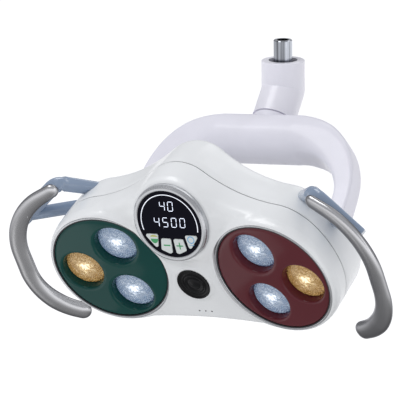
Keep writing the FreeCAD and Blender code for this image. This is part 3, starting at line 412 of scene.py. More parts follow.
def circle(radius, count, centre=(0, 0)):
    """Points evenly round a circle, anticlockwise from its X axis."""
    angles = np.arange(count) * 2 * math.pi / count
    return np.column_stack([centre[0] + radius * np.cos(angles), centre[1] + radius * np.sin(angles)])


def level_row(points, height):
    """Points on a level, as a row."""
    return np.column_stack([points, np.full(len(points), height)])


def lathe(profile, count=96):
    """A closed shape turned about Z from (radius, height) pairs; radius 0 closes the end."""
    shape = Shape()
    shape.loft([level_row(circle(max(radius, 0.01), count), height) for radius, height in profile])
    return shape


def rounded_path(corners, radii, step):
    """Points along straight runs joined by tangent arcs at the inner corners."""
    corners = [Vector(corner) for corner in corners]
    line = [corners[0]]
    for before, corner, after, radius in zip(corners, corners[1:], corners[2:], radii):
        to_before = (before - corner).normalized()
        to_after = (after - corner).normalized()
        bend = math.pi - to_before.angle(to_after)
        reach = radius * math.tan(bend / 2)
        centre = corner + (to_before + to_after).normalized() * radius / math.cos(bend / 2)
        start = corner + to_before * reach - centre
        finish_at = corner + to_after * reach - centre
        steps = max(2, int(radius * bend / step))
        line.extend(centre + start.slerp(finish_at, i / steps) * radius for i in range(steps + 1))
    line.append(corners[-1])
    return np.array(line)


def distances_of(line):
    """How far along a line each of its points is."""
    return np.concatenate([[0], np.cumsum(np.linalg.norm(np.diff(line, axis=0), axis=1))])


def along(line, distances):
    """Points at given distances along a line, and the unit directions there."""
    lengths = distances_of(line)
    nudge = 0.4
    here, ahead, behind = (np.column_stack([np.interp(distances + step, lengths, axis) for axis in line.T])
                           for step in (0, nudge, -nudge))
    heading = ahead - behind
    return here, heading / np.linalg.norm(heading, axis=1, keepdims=True)


def inside(points, loop):
    """Which points lie inside a closed loop."""
    result = np.zeros(len(points), bool)
    following = np.roll(loop, -1, axis=0)
    for (x0, y0), (x1, y1) in zip(loop, following):
        crosses = (y0 > points[:, 1]) != (y1 > points[:, 1])
        if crosses.any():
            result ^= crosses & (points[:, 0] < (x1 - x0) * (points[:, 1] - y0) / (y1 - y0 + 1e-12) + x0)
    return result


def thinned(points, spacing):
    """The points without those that crowd an earlier one."""
    kept = {}
    for point in points:
        cell = (round(point[0] / spacing), round(point[1] / spacing))
        kept.setdefault(cell, point)
    return np.array(list(kept.values()))


def away_from(points, edges, gap):
    """Which points are farther than a gap from every edge point."""
    result = np.ones(len(points), bool)
    for start in range(0, len(points), 2000):
        block = points[start:start + 2000]
        distance = np.linalg.norm(block[:, None] - edges[None], axis=2).min(axis=1)
        result[start:start + 2000] = distance > gap
    return result


def filled(outer, holes, rings, spacing):
    """Triangles over the area inside the outer loop and outside the holes, finer along the rings.
    Returns the points, the triangles, and the indices of the outer loop and of each hole."""
    low, high = outer.min(axis=0), outer.max(axis=0)
    grid = np.meshgrid(np.arange(low[0], high[0], spacing), np.arange(low[1], high[1], spacing))
    free = np.vstack([*rings, thinned(np.stack(grid, -1).reshape(-1, 2), spacing * 0.6)])
    loops = [outer, *holes]
    edges = np.vstack(loops)
    allowed = inside(free, outer) & away_from(free, edges, 0.3)
    for hole in holes:
        allowed &= ~inside(free, hole)
    ring_count = sum(len(ring) for ring in rings)
    ring_points = thinned(free[:ring_count][allowed[:ring_count]], 0.35)
    grid_points = free[ring_count:][allowed[ring_count:]]
    grid_points = grid_points[away_from(grid_points, ring_points, spacing * 0.45)]
    every = np.vstack([edges, ring_points, grid_points])
    runs, first = [], 0
    for loop in loops:
        runs.append(range(first, first + len(loop)))
        first += len(loop)
    borders = [(run[i], run[(i + 1) % len(run)]) for run in runs for i in range(len(run))]
    points, _, faces, origins, _, _ = geometry.delaunay_2d_cdt(
        [Vector(point) for point in every], borders, [], 1, 1e-5)
    points = np.array([tuple(point) for point in points])
    centres = points[np.array(faces)].mean(axis=1)
    keep = inside(centres, outer)
    for hole in holes:
        keep &= ~inside(centres, hole)
    place = {origin: i for i, sources in enumerate(origins) for origin in sources}
    indices = [[place[i] for i in run] for run in runs]
    return points, [face for face, kept in zip(faces, keep) if kept], indices


# ---- head outline and heights

def tangent_centre(first, first_radius, second, second_radius, radius):
    """Centre of an arc touching both circles from outside, on the left of the line between them."""
    reach = second - first
    near, far = first_radius + radius, second_radius + radius
    forward = (near ** 2 - far ** 2 + reach @ reach) / (2 * math.hypot(*reach))
    aside = math.sqrt(near ** 2 - forward ** 2)
    unit = reach / math.hypot(*reach)
    return first + unit * forward + np.array([-unit[1], unit[0]]) * aside


def outline_arcs():
    """The head's outline as (centre, radius, start angle, end angle, sense): sense -1 where it bulges."""
    right = np.array([LOBE_OFFSET, 0.0])
    top = np.array([0.0, CROWN_HEIGHT])
    main = [(right, LOBE_RADIUS), (top, CROWN_RADIUS), (-right, LOBE_RADIUS)]
    join_radii = [FLANK_RADIUS, FLANK_RADIUS, BELLY_RADIUS]
    joins = [tangent_centre(*main[(i + 1) % 3], *main[i], join_radii[i]) for i in range(3)]

    def heading(centre, target):
        return math.atan2(target[1] - centre[1], target[0] - centre[0])

    arcs = []
    for i, (centre, radius) in enumerate(main):
        start, end = heading(centre, joins[i - 1]), heading(centre, joins[i])
        arcs.append((centre, radius, start, end + (2 * math.pi if end < start else 0), -1))
        join = joins[i]
        start, end = heading(join, centre), heading(join, main[(i + 1) % 3][0])
        arcs.append((join, join_radii[i], start, end - (2 * math.pi if end > start else 0), 1))
    return arcs


ARCS = outline_arcs()


def outline(inset, step=1.9):
    """The outline moved inwards."""
    points = []
    for centre, radius, start, end, sense in ARCS:
        count = max(3, int(radius * abs(end - start) / step))
        angles = start + (end - start) * np.arange(count) / count
        reach = radius + sense * inset
        points.append(centre + reach * np.column_stack([np.cos(angles), np.sin(angles)]))
    return np.vstack(points)


def inset_of(points):
    """How far each point lies inside the outline."""
    best = np.full(len(points), 1e6)
    for centre, radius, start, end, sense in ARCS:
        offset = points - centre
        angle = np.arctan2(offset[:, 1], offset[:, 0])
        aside = np.abs((angle - (start + end) / 2 + math.pi) % (2 * math.pi) - math.pi)
        gap = sense * (np.hypot(*offset.T) - radius)
        best = np.where(aside <= abs(end - start) / 2 + 1e-6, np.minimum(best, gap), best)
    return np.clip(best, 0, None)


def quarter(share):
    """Rises from 0 to 1 like a quarter circle, slowly at first."""
    return 1 - np.sqrt(1 - np.clip(share, 0, 1) ** 2)


def smooth_max(a, b, blend):
    """The larger of two heights, with a fillet where they are closer than the blend."""
    overlap = np.clip(blend - np.abs(a - b), 0, None) / blend
    return np.maximum(a, b) + overlap ** 2 * blend / 4


def soft_bend(value, width):
    """Zero before a bend, then rising in line, with a smooth change."""
    return width * np.logaddexp(0, value / width)


def seam_height(y):
    """Level of the seam between the covers."""
    return -SEAM_DEPTH - math.tan(math.radians(SEAM_SLOPE)) * soft_bend(y - SEAM_BEND, SEAM_EASE)


def back_height(y):
    """Level of the rear cover's flat back."""
    return -BACK_DEPTH - math.tan(math.radians(BACK_SLOPE)) * soft_bend(y - BACK_BEND, BACK_EASE)


def mound_height(x, y):
    """The mound that carries the display, about the display's own tilted axis.
    The height is settled step by step, because the distance from the axis depends on it."""
    tilt = math.radians(DISPLAY_TILT)
    sine, cosine = math.sin(tilt), math.cos(tilt)
    z = DISPLAY_Z - (y - DISPLAY_Y) * math.tan(tilt) - BEZEL_HEIGHT
    for _ in range(14):
        forward = (y - DISPLAY_Y) * sine + (z - DISPLAY_Z) * cosine
        upward = (y - DISPLAY_Y) * cosine - (z - DISPLAY_Z) * sine
        beyond = np.clip(np.hypot(x, upward) - BEZEL_RADIUS - 1.5, 0, None)
        z = z + (1 - BEZEL_HEIGHT - 2.1 * beyond ** 2 / (beyond + 9) - forward) / cosine
    return z


def front_height(x, y, inset):
    """The front cover's surface: deck, lobes, display mound and sensor boss blended together."""
    deck = np.mean([np.interp(y + step, *zip(*DECK)) for step in range(-14, 15, 4)], axis=0)
    rounding = np.interp(y, (-70, -40, 10), (6, 10, 17))
    wall_foot, wall_rise, wall_blend = -24, 26, 7
    wall = wall_foot + wall_rise * (1 - quarter(1 - inset / rounding))
    height = -smooth_max(-deck, -wall, wall_blend)
    lip_width, lip_fall, lip_slope, lip_blend = 6, 17, 2.4, 8
    toe_in = math.radians(TOE_IN)
    for _, side in SIDES:
        across = side * x - LOBE_OFFSET
        beyond = np.hypot(across / math.cos(toe_in), y) - PANEL_OPENING
        fall = lip_fall * quarter(beyond / lip_width) + np.clip(beyond - 5.2, 0, None) * lip_slope
        height = smooth_max(height, across * math.tan(toe_in) - fall, lip_blend)
    height = smooth_max(height, mound_height(x, y), 12)
    beyond = np.clip(np.hypot(x, y - SENSOR_Y) - SENSOR_RADIUS - 1.6, 0, None)
    height = smooth_max(height, SENSOR_Z - 0.4 - 2.2 * beyond ** 2 / (beyond + 2.5), 3)
    edge_drop, edge_width = 4.5, 5.5
    return height - edge_drop * quarter(1 - inset / edge_width)


def cover_skirt(shape, edge, levels):
    """Rows from an edge's points through (inset, height) levels."""
    previous = edge
    for inset, height in levels:
        current = shape.add(np.column_stack([outline(inset), height]))
        shape.strip(previous, current)
        previous = current


def eased(height, points, faces, passes=24):
    """Evens the deck out between the rims: each pass moves a point towards its neighbours' mean height,
    by a share that grows from none near a rim to all farther off."""
    x, y = points.T
    clear = [np.hypot(x - side * LOBE_OFFSET, y) - PANEL_OPENING for _, side in SIDES]
    clear.append(np.hypot(x, y - DISPLAY_Y) - BEZEL_RADIUS)
    clear.append(np.hypot(x, y - SENSOR_Y) - SENSOR_RADIUS)
    clear.append(inset_of(points))
    free = np.clip((np.min(clear, axis=0) - 4) / 6, 0, 1)
    pairs = np.array([(face[i - 1], face[i]) for face in faces for i in range(len(face))])
    pairs = np.concatenate([pairs, pairs[:, ::-1]])
    neighbours = np.maximum(np.bincount(pairs[:, 0], minlength=len(height)), 1)
    for _ in range(passes):
        around = np.bincount(pairs[:, 0], height[pairs[:, 1]], len(height)) / neighbours
        height = height + free * (around - height)
    return height


def with_rims(shape, points, height, loops, drops):
    """Adds a wall round each opening, through the given drops below its rim."""
    for loop in loops:
        rim = np.column_stack([points[loop], height[loop]])
        shape.rows([rim, *(rim - (0, 0, drop) for drop in drops)])


def front_rings():
    """Rings of finer points along the front's edge and round its openings."""
    rings = [outline(inset) for inset in (0.25, 0.7, 1.3, 2.1, 3.1, 4.3, 5.7, 7.5, 10, 13, 16.5)]
    rings += [circle(SENSOR_RADIUS + beyond, 90, (0, SENSOR_Y)) for beyond in (0.8, 1.6, 2.5, 3.5, 5)]
    rings += [circle(BEZEL_RADIUS + beyond, 150, (0, DISPLAY_Y - 1.7)) for beyond in (1.2, 2.6, 4.2, 6.2)]
    for _, side in SIDES:
        centre = (side * LOBE_OFFSET, 0)
        rings += [circle(PANEL_OPENING + beyond, 200, centre) for beyond in (1, 2, 3, 4, 5, 6.2)]
    return rings


def front_cover():
    cosine = math.cos(math.radians(TOE_IN))
    panel_holes = [circle(PANEL_OPENING, 200) * (cosine, 1) + (side * LOBE_OFFSET, 0) for _, side in SIDES]
    tilt = math.radians(DISPLAY_TILT)
    display_hole = (circle(BEZEL_RADIUS + 0.1, 150) * (1, math.cos(tilt))
                    + (0, DISPLAY_Y + (1 - BEZEL_HEIGHT) * math.sin(tilt)))
    sensor_hole = circle(SENSOR_RADIUS + 0.1, 90, (0, SENSOR_Y))
    points, faces, loops = filled(outline(0), [*panel_holes, display_hole, sensor_hole], front_rings(), 2.4)
    height = eased(front_height(*points.T, inset_of(points)), points, faces)
    shape = Shape()
    shape.add(np.column_stack([points, height]))
    shape.faces.extend(faces)
    rim = height[loops[0]]
    seam = seam_height(points[loops[0]][:, 1])
    levels = [(0, rim + (seam + 0.5 - rim) * share) for share in (0.2, 0.45, 0.7, 0.9, 1)]
    cover_skirt(shape, loops[0], [*levels, (0.15, seam + 0.15), (0.6, seam), (3.2, seam)])
    with_rims(shape, points, height, loops[1:], (2.5, 5))
    make_piece("front_cover", shape, HEAD, "head", "head_white", replaces=["front_housing"])


def seam_seal():
    """The dark band between the covers."""
    gasket = Shape()
    ring, inner = outline(0.7), outline(3.2)
    gasket.rows([np.column_stack([loop, seam_height(loop[:, 1]) + lift])
                 for loop, lift in ((inner, 0), (ring, 0), (ring, -SEAM_GAP), (inner, -SEAM_GAP))])
    make_piece("seam_seal", gasket, HEAD, "head", "dark_rubber", replaces=["seam_gasket"])


def screw_places():
    """Where the four housing screws enter the rear cover."""
    return [(side * x, y) for x, y in REAR_SCREWS for _, side in SIDES]


def drafted(rows):
    """Draws the rear cover's crown in towards the back."""
    draft = 8
    rows = np.array(rows, float)
    share = np.clip((rows[:, 1] - 30) / 90, 0, 1)
    depth = np.clip((seam_height(rows[:, 1]) - rows[:, 2]) / 60, 0, 1)
    rows[:, 1] -= draft * share * depth
    return rows


def rear_cover():
    holes = [circle(4.5, 32, place) for place in screw_places()]
    rings = [outline(inset) for inset in (0.15, 0.6, 1.3, 2.3, 3.5, 5, 6.8, 8.8, 11, 13.5)]
    rings += [circle(radius, 32, place) for place in screw_places() for radius in (5, 5.8)]
    points, faces, loops = filled(outline(0), holes, rings, 4)
    inset = inset_of(points)
    height = back_height(points[:, 1]) + BACK_ROUND * quarter(1 - inset / BACK_ROUND)
    shape = Shape()
    shape.add(np.column_stack([points, height]))
    shape.faces.extend(tuple(reversed(face)) for face in faces)
    rim = height[loops[0]]
    seam = seam_height(points[loops[0]][:, 1]) - SEAM_GAP
    levels = [(0, rim + (seam - 0.5 - rim) * share) for share in (0.25, 0.5, 0.75, 1)]
    cover_skirt(shape, loops[0], [*levels, (0.15, seam - 0.15), (0.6, seam), (3.2, seam)])
    with_rims(shape, points, height, loops[1:], (-10,))
    shape.points = [tuple(point) for point in drafted(shape.points)]
    make_piece("rear_cover", shape, HEAD, "head", "head_white", replaces=["rear_housing"])


def rear_ears():
    """The two lugs that take the tilt pins: round behind, running forward into the rear cover."""
    count = 64
    rim = []
    for forward, upward in circle(1, count):
        reach = EAR_RADIUS
        if forward > 0:
            reach = min(EAR_ROOT / max(forward, 1e-6), EAR_RADIUS / max(abs(upward), 1e-6))
        rim.append((reach * upward, reach * forward))
    rim = np.array(rim)
    bore = circle(EAR_BORE, count)[:, ::-1]
    bevels = ((0, 1.5), (0.5, 0.6), (1.5, 0))
    sections = [(EAR_INNER + step, shrink) for step, shrink in bevels]
    sections += [(EAR_OUTER - step, shrink) for step, shrink in reversed(bevels)]
    loops = [(x, rim * (1 - shrink / EAR_RADIUS)) for x, shrink in sections]
    loops += [(x, bore) for x in (EAR_OUTER, EAR_INNER)]
    axis = (0, TILT_HEIGHT, -TILT_BACK)
    for name, side in SIDES:
        rows = [np.column_stack([np.full(count, side * x), loop]) + axis for x, loop in loops]
        shape = Shape()
        shape.rows([*rows, rows[0]])
        if side > 0:
            shape.flip()
        make_piece(f"tilt_ear_{name}", shape, HEAD, "head", "head_white")


# ---- yoke

def section(centre, across, normal, half, power, count=72):
    """A closed loop round a centre: an ellipse at power 2, nearer a rectangle at a higher power."""
    angles = (np.arange(count) + 0.5) * 2 * math.pi / count
    cosine, sine = np.cos(angles), np.sin(angles)
    reach = (np.abs(cosine / half[0]) ** power + np.abs(sine / half[1]) ** power) ** (-1 / power)
    return centre + np.outer(reach * cosine, across) + np.outer(reach * sine, normal)


def yoke():
    path = rounded_path([(-ARM_X, 0, ARM_LENGTH), (-ARM_X, 0, 0), (ARM_X, 0, 0), (ARM_X, 0, ARM_LENGTH)],
                        [YOKE_BEND, YOKE_BEND], 2)
    here, heading = along(path, np.linspace(0, distances_of(path)[-1], 150))
    end_angles = (18, 38, 56, 72, 84)
    rows = [arm_end_row(here[0], -1, angle) for angle in reversed(end_angles)]
    for point, direction in zip(here, heading):
        slim = np.interp(abs(point[0]), *zip(*YOKE_SLIMMING))
        wide = BAR_RADIUS + (ARM_HALF_WIDE - BAR_RADIUS) * slim
        deep = BAR_RADIUS + (ARM_HALF_DEEP - BAR_RADIUS) * slim
        across = (-direction[2], 0, direction[0])
        rows.append(section(point, across, (0, 1, 0), (wide, deep), 2 + (ARM_POWER - 2) * slim ** 1.5))
    rows += [arm_end_row(here[-1], 1, angle) for angle in end_angles]
    shape = Shape()
    shape.loft([row + (0, YOKE_OFFSET, 0) for row in rows])
    shape.join(lathe([(BOSS_BORE, BOSS_TOP), (BOSS_RADIUS - 0.8, BOSS_TOP),
                      (BOSS_RADIUS - 0.2, BOSS_TOP + 0.3), (BOSS_RADIUS, BOSS_TOP + 1), (BOSS_RADIUS, 0)]))
    make_piece("yoke_casting", shape, YOKE, "yoke", "yoke_gloss", replaces=["yoke"])


def arm_end_row(point, side, angle):
    """A section of the arm's rounded end, at an angle round the tilt axis."""
    turned = math.radians(angle)
    half = (ARM_HALF_WIDE - 1.2 * quarter(angle / 90), max(0.8, ARM_HALF_DEEP * math.cos(turned)))
    centre = point + (0, 0, ARM_HALF_DEEP * math.sin(turned))
    return section(centre, (-side, 0, 0), (0, 1, 0), half, ARM_POWER)


# ---- grips and brackets

def grip_frame(side):
    """X inwards from the grip's outermost line, Y up, in the head's frame."""
    lean = math.radians(GRIP_LEAN)
    inwards = Vector((-side * math.cos(lean), 0, -math.sin(lean)))
    upwards = Vector((0, 1, 0))
    columns = Matrix((inwards, upwards, inwards.cross(upwards))).transposed().to_4x4()
    return HEAD @ shift(side * GRIP_X, 0, GRIP_Z) @ columns


def grip_path():
    """Middle line of a grip: an upper end, two bends and a lower end."""
    (top_in, top_y), (foot_in, foot_y) = GRIP_TOP, GRIP_FOOT
    top_slope, foot_slope = (math.tan(math.radians(angle)) for angle in GRIP_SPLAY)
    return rounded_path([(top_in, top_y, 0), (0, top_y - top_in * top_slope, 0),
                         (0, foot_y + foot_in * foot_slope, 0), (foot_in, foot_y, 0)], GRIP_BENDS, 2)


def grips():
    """Bent oval bars, thinner at the top, with rounded ends beyond the path's."""
    path = grip_path()
    length = distances_of(path)[-1]
    top_end, foot_end = GRIP_ENDS
    angles = np.radians(np.arange(6, 90, 12))
    places = np.concatenate([-top_end * np.cos(angles), np.linspace(0, length, 110),
                             length + foot_end * np.cos(angles[::-1])])
    rows = []
    for place in places:
        inner = min(max(place, 0), length)
        (here,), (direction,) = along(path, np.array([inner]))
        wide, deep = (np.interp(inner / length, *zip(*table)) for table in (GRIP_WIDE, GRIP_DEEP))
        end = top_end if place < 0 else foot_end
        shrink = math.sqrt(max(0, 1 - ((place - inner) / end) ** 2))
        half = (max(wide * shrink, 0.3), max(deep * shrink, 0.2))
        rows.append(section(here + direction * (place - inner), (direction[1], -direction[0], 0), (0, 0, 1),
                            half, 2.25, 48))
    for name, side in SIDES:
        shape = Shape()
        shape.loft(rows)
        if side < 0:
            shape.flip()
        make_piece(f"grip_{name}", shape, grip_frame(side), "head", "grip_metal", replaces=[f"handle_{name}"])


def beam(shape, line, up, half, powers, ends=1.2):
    """A bar along a line, with slightly rounded ends; its section goes from the first power to the last."""
    length = distances_of(line)[-1]
    places = [0, ends * 0.3, *np.arange(ends, length - ends, 2), length - ends, length - ends * 0.3, length]
    rows = []
    for place in places:
        (here,), (direction,) = along(line, np.array([place]))
        across = np.cross(direction, up)
        across /= np.linalg.norm(across)
        normal = np.cross(across, direction)
        shrink = max(0, ends - min(place, length - place))
        power = powers[0] + (powers[1] - powers[0]) * place / length
        rows.append(section(here, across, normal, (half[0] - shrink, half[1] - shrink), power, 56))
    indices = shape.rows(rows)
    shape.cap(indices[0])
    shape.cap(indices[-1], True)


def brackets():
    """Two bars from the head that meet at the grip: a bent upper one and a straight lower one."""
    for name, side in SIDES:
        upper_foot, upper, lower, lower_foot = (np.array((side * x, y, z), float) for x, y, z in BRACKET)
        overhang = (lower - upper) / np.linalg.norm(lower - upper) * 8
        up = (side * 0.55, 0.45, 0.7)
        bent = rounded_path([upper_foot - overhang * 0.3, upper - overhang * 0.8, lower + overhang], [14], 1)
        shape = Shape()
        beam(shape, bent, up, UPPER_ARM_HALF, (2.7, 7))
        beam(shape, np.array([lower_foot, lower]), up, LOWER_ARM_HALF, (2.7, 2.7))
        make_piece(f"bracket_{name}", shape, HEAD, "head", "bracket_gloss",
                   replaces=[f"handle_bracket_{name}"])


# ---- lamp panels

def lens_places(side):
    return {name: (side * x, y) for name, (x, y) in LENSES.items()}


def lamp_panels():
    """Slightly domed discs with a rounded edge, and a well round each lens."""
    bulge, edge_drop, edge_width = 1.2, 1.4, 3
    offsets, levels = zip(*WELL)
    for name, side in SIDES:
        places = lens_places(side)
        holes = [circle(LENS_RADIUS, 110, place) for place in places.values()]
        rings = [circle(LENS_RADIUS + offset, 110, place)
                 for place in places.values() for offset in offsets[1:7]]
        rings += [circle(PANEL_RADIUS - inset, 180) for inset in (0.3, 0.8, 1.6, 2.8)]
        points, faces, loops = filled(circle(PANEL_RADIUS, 180), holes, rings, 2)
        reach = np.hypot(*points.T)
        height = bulge * (1 - (reach / PANEL_RADIUS) ** 2)
        height -= edge_drop * quarter((reach - PANEL_RADIUS + edge_width) / edge_width)
        beyond = np.min([np.hypot(*(points - place).T) - LENS_RADIUS for place in places.values()], axis=0)
        height += np.interp(beyond, offsets, levels)
        shape = Shape()
        shape.add(np.column_stack([points, height]))
        shape.faces.extend(faces)
        with_rims(shape, points, height, loops[:1], (3,))
        with_rims(shape, points, height, loops[1:], (2,))
        make_piece(f"panel_{name}", shape, PANELS[name], "head", "panel_green" if side < 0 else "panel_red",
                   replaces=[f"lamp_panel_{name}"], angle=60)
        for lens, (x, y) in places.items():
            dome(f"lens_{name}_{lens}", PANELS[name] @ shift(x, y, -LENS_DEPTH - PANEL_SKIN),
                 "lens_amber" if lens == "outer" else "lens_clear")


def dome(node, place, slot):
    """A lens: a shallow dome with a stepped rim, on a flange."""
    rise, step, flange = 3.6, 1.6, 26
    radius = LENS_RADIUS - 0.5
    profile = [(flange, -2), (flange, 0), (radius, 0), (radius, 1.0), (radius - 0.5, step)]
    profile += [((radius - 0.7) * math.cos(angle), step + (rise - step) * math.sin(angle))
                for angle in np.radians(np.arange(3, 90, 6))]
    profile.append((0, rise))
    make_piece(node + "_dome", lathe(profile, 80), place, "head", slot, replaces=[node], own_axes=True)


# ---- display, keys and sensor

def bar_outline(start, end, half):
    """A light segment between two points, pointed at both ends."""
    start, end = np.array(start, float), np.array(end, float)
    unit = (end - start) / np.linalg.norm(end - start)
    side = np.array([-unit[1], unit[0]])
    return [start, start + (unit + side) * half, end + (side - unit) * half, end,
            end - (unit + side) * half, start + (unit - side) * half]


def flat(outlines, height, thick):
    """Thin plates from closed outlines, standing on a height."""
    shape = Shape()
    for points in outlines:
        points = np.array(points, float)
        low = shape.add(level_row(points, height))
        top = shape.add(level_row(points, height + thick))
        shape.strip(low, top)
        shape.cap(top)
    return shape


SEGMENTS = {"0": "abcdef", "4": "bcfg", "5": "acdfg"}


def digit(figure, left, foot, width=6, tall=11, slant=0.12):
    """The lit segments of one figure."""
    middle, top, right = foot + tall / 2, foot + tall, left + width
    ends = {"a": ((left, top), (right, top)), "b": ((right, top), (right, middle)),
            "c": ((right, middle), (right, foot)), "d": ((left, foot), (right, foot)),
            "e": ((left, middle), (left, foot)), "f": ((left, top), (left, middle)),
            "g": ((left, middle), (right, middle))}
    gap, half = 0.35, 0.36
    result = []
    for name in SEGMENTS[figure]:
        start, end = (np.array(point, float) for point in ends[name])
        unit = (end - start) / np.linalg.norm(end - start)
        points = bar_outline(start + unit * gap, end - unit * gap, half)
        result.append([(x + (y - foot) * slant, y) for x, y in points])
    return result


def band(inner, outer, base, thick, closed=True):
    """A thin strip between two rows of points, standing on a height."""
    shape = Shape()
    rows = ((inner, base), (inner, base + thick), (outer, base + thick), (outer, base))
    shape.rows([level_row(points, height) for points, height in rows], closed)
    shape.flip()
    return shape


def read_out():
    """Two lines of figures under an arc of light."""
    upper_foot, lower_foot = 16, -3.4
    figures = [digit("4", -8.2, upper_foot), digit("0", 2.0, upper_foot)]
    figures += [digit(figure, left, lower_foot) for figure, left in zip("4500", (-19, -8.2, 2.6, 13.4))]
    shape = flat([segment for figure in figures for segment in figure], 0.0, 0.12)
    make_piece("read_out_digits", shape, DISPLAY, "head", "display_black", DIGIT_LIGHT)
    angles = np.radians(np.linspace(-13.5, 193.5, 90))
    around = np.column_stack([np.cos(angles), np.sin(angles)])
    arc = band(34.7 * around, 35.6 * around, 0, 0.1, closed=False)
    make_piece("read_out_arc", arc, DISPLAY, "head", "display_black", ARC_LIGHT)


def ellipse(x, y, half_x, half_y, start=0, end=360, count=28):
    """An ellipse, or a part of one between two angles."""
    angles = np.radians(np.linspace(start, end, count, endpoint=end - start < 359))
    return [(x + half_x * math.cos(angle), y + half_y * math.sin(angle)) for angle in angles]


def box(left, low, right, high):
    return [(left, low), (right, low), (right, high), (left, high)]


def key_signs():
    """The coloured signs printed on the keys, each moving with its own key."""
    top, thick = 0.9, 0.06
    signs = [("light_key", "sun_sign", [ellipse(-22.6, -15.8, 4.6, 2.2, 0, 180)], KEY_LIME),
             ("light_key", "lamp_sign", [ellipse(-22.6, -18.2, 4.6, 5.4, 180, 360)], KEY_GREEN),
             ("minus_key", "minus_sign", [box(-12, -26.3, -3.6, -24.7)], KEY_GREEN),
             ("plus_key", "plus_sign", [box(4.2, -26.2, 12.6, -24.8), box(7.7, -29.6, 9.1, -21.4)],
              KEY_GREEN),
             ("sensor_key", "hand_sign", [box(21, -24.2, 27, -23.5)], KEY_BLUE)]
    for key, name, outlines, material in signs:
        make_piece(name, flat(outlines, top, thick), DISPLAY, key + "_cap", "key_grey", material)
    inner, outer = (circle(radius, 40, (24, -17.6)) for radius in (3.3, 4.5))
    make_piece("ring_sign", band(inner, outer, top, thick), DISPLAY, "sensor_key_cap", "key_grey", KEY_BLUE)


def hand_sensor():
    """The black sensor: rings stepping down to a small dome."""
    profile = [(SENSOR_RADIUS, -3), (SENSOR_RADIUS, 0.6), (19.6, 0.9), (18.9, 0.9), (18.3, 0.4), (17.6, -0.7),
               (15.4, -1.1), (14.8, -0.6), (14.2, -0.6), (13.6, -1.2), (12.6, -1.3), (12, -0.5), (11.2, -0.2),
               (10.4, -0.5), (9.6, -1.4), (8, -1.6), (7.4, -0.9), (6.8, -0.4), (5, 0.3), (2.5, 0.7), (0, 0.8)]
    make_piece("sensor_rings", lathe(profile), SENSOR, "head", "sensor_black",
               replaces=["sensor_cover", "sensor_lens"])


def microphone_hole_shade():
    """Three dark dots below the sensor: painted shade standing in for the dark insides of the small holes there.
    """
    middle = np.array([[0.0, DOT_Y]])
    height = float(front_height(*middle.T, inset_of(middle))[0])
    dots = [ellipse(DOT_SPACING * i, DOT_Y, DOT_RADIUS, DOT_RADIUS, count=16) for i in (-1, 0, 1)]
    # dark discs as painted hole shade, not holes cut in the cover
    make_piece("microphone_hole_shade", flat(dots, height - 0.6, 0.8), HEAD, "head", "sensor_black")


# ---- carried-over CAD nodes

def dress_cad_nodes():
    """Gives every CAD node the finish of its slot."""
    slots = {part["node"]: part["material_slot"] for part in frame["record"]["subparts"]}
    for name, node in NODES.items():
        node.data.materials.clear()
        node.data.materials.append(MATERIALS[slots[name]])


# ---- camera, light and floor

def camera():
    """The camera at the photograph's angle, by azimuth, elevation and roll round its aim."""
    azimuth, elevation, roll = math.radians(25.38), math.radians(14.71), math.radians(-0.9)
    aim, distance, focal_length = Vector((-0.0054, -0.2212, -0.1162)), 2.781, 226.3
    data = bpy.data.cameras.new("camera")
    data.sensor_width = 36
    data.lens = focal_length
    data.clip_end = 50
    view = new_object("camera", data)
    backwards = Vector((math.sin(azimuth) * math.cos(elevation), -math.cos(azimuth) * math.cos(elevation),
                        math.sin(elevation)))
    view.matrix_world = (Matrix.Translation(aim + backwards * distance)
                         @ backwards.to_track_quat("Z", "Y").to_matrix().to_4x4()
                         @ Matrix.Rotation(roll, 4, "Z"))
    bpy.context.scene.camera = view


def area_light(name, place, aim, size, power):
    """A softbox at a place, turned to its aim, that the camera doesn't see."""
    data = bpy.data.lights.new(name, "AREA")
    data.shape = "RECTANGLE"
    data.size, data.size_y = size
    data.energy = power
    lamp = new_object(name, data)
    lamp.location = place
    lamp.visible_camera = False
    lamp.rotation_euler = (Vector(place) - Vector(aim)).to_track_quat("Z", "Y").to_euler()


def sheen_light(name):
    """A small low softbox whose reflection washes over the upper outer half of a lamp panel."""
    panel = PANELS[name]
    centre = panel.translation
    normal = panel.to_3x3() @ Vector((0, 0, 1))
    sight = (centre - bpy.context.scene.camera.matrix_world.translation).normalized()
    bounce = sight - 2 * sight.dot(normal) * normal
    aside = (panel.to_3x3() @ Vector((-0.8, 0.6, 0))).normalized()
    away, size, power = 0.8, 0.24, 0.08
    place = centre + bounce * away + aside * 0.15
    area_light("sheen_" + name, place, centre, (size, size), power)


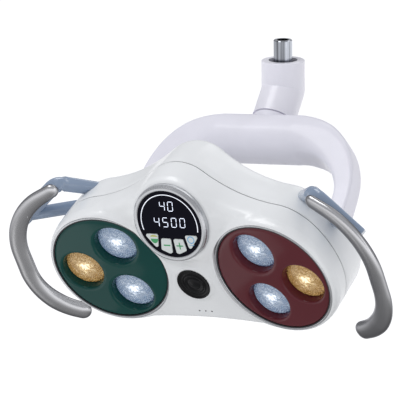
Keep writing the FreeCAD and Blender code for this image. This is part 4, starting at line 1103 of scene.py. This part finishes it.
def floor_material():
    """Pale paper, softly brighter away from the object."""
    dim_within, bright_beyond = 1.0, 2.6
    material, tree, shader = new_material("floor_paper")
    space = object_space(tree)
    length = added(tree, "VectorMath")
    length.operation = "LENGTH"
    tree.links.new(space, length.inputs[0])
    reach = span(tree, length.outputs["Value"], 0, 1)
    put(reach.node, From_Min=dim_within, From_Max=bright_beyond)
    tint = ramp(tree, reach, ((0, (0.3, 0.3, 0.3)), (1, (0.97, 0.97, 0.97))))
    tree.links.new(tint, shader.inputs["Emission Color"])
    tree.links.new(tint, shader.inputs["Base Color"])
    put(shader, Emission_Strength=0.6, Roughness=0.9, Specular_IOR_Level=0)
    return material


def studio():
    """A wide floor below the object, three softboxes, a sheen on each panel and a pale sky."""
    low, high = CAD_BOX
    middle = (Vector(low) + Vector(high)) / 2
    half, steps, drop = 40, 41, 1.1
    lines = np.linspace(-half, half, steps)
    mesh = bpy.data.meshes.new("floor")
    faces = [(row * steps + i, row * steps + i + 1, (row + 1) * steps + i + 1, (row + 1) * steps + i)
             for row in range(steps - 1) for i in range(steps - 1)]
    mesh.from_pydata([(x, y, 0) for y in lines for x in lines], [], faces)
    mesh.materials.append(floor_material())
    plane = new_object("floor", mesh)
    plane.location = (middle.x, middle.y, low[2] - drop)
    area_light("key_softbox", (-0.9, -1.0, 2.2), middle, (1.6, 1.2), 24)
    area_light("fill_softbox", (2.2, -1.2, 0.3), middle, (1.0, 1.6), 4)
    area_light("rim_softbox", (0.3, 1.2, 1.6), middle, (1.6, 0.8), 5)
    for name, _ in SIDES:
        sheen_light(name)
    world = bpy.data.worlds.new("studio")
    bpy.context.scene.world = world
    world.use_nodes = True
    sky = world.node_tree.nodes["Background"]
    put(sky, Color=(0.95, 0.96, 1, 1), Strength=0.52)
    bpy.context.scene.view_settings.view_transform = "Standard"


camera()
studio()
dress_cad_nodes()
front_cover()
seam_seal()
rear_cover()
rear_ears()
yoke()
grips()
brackets()
lamp_panels()
read_out()
key_signs()
hand_sensor()
microphone_hole_shade()
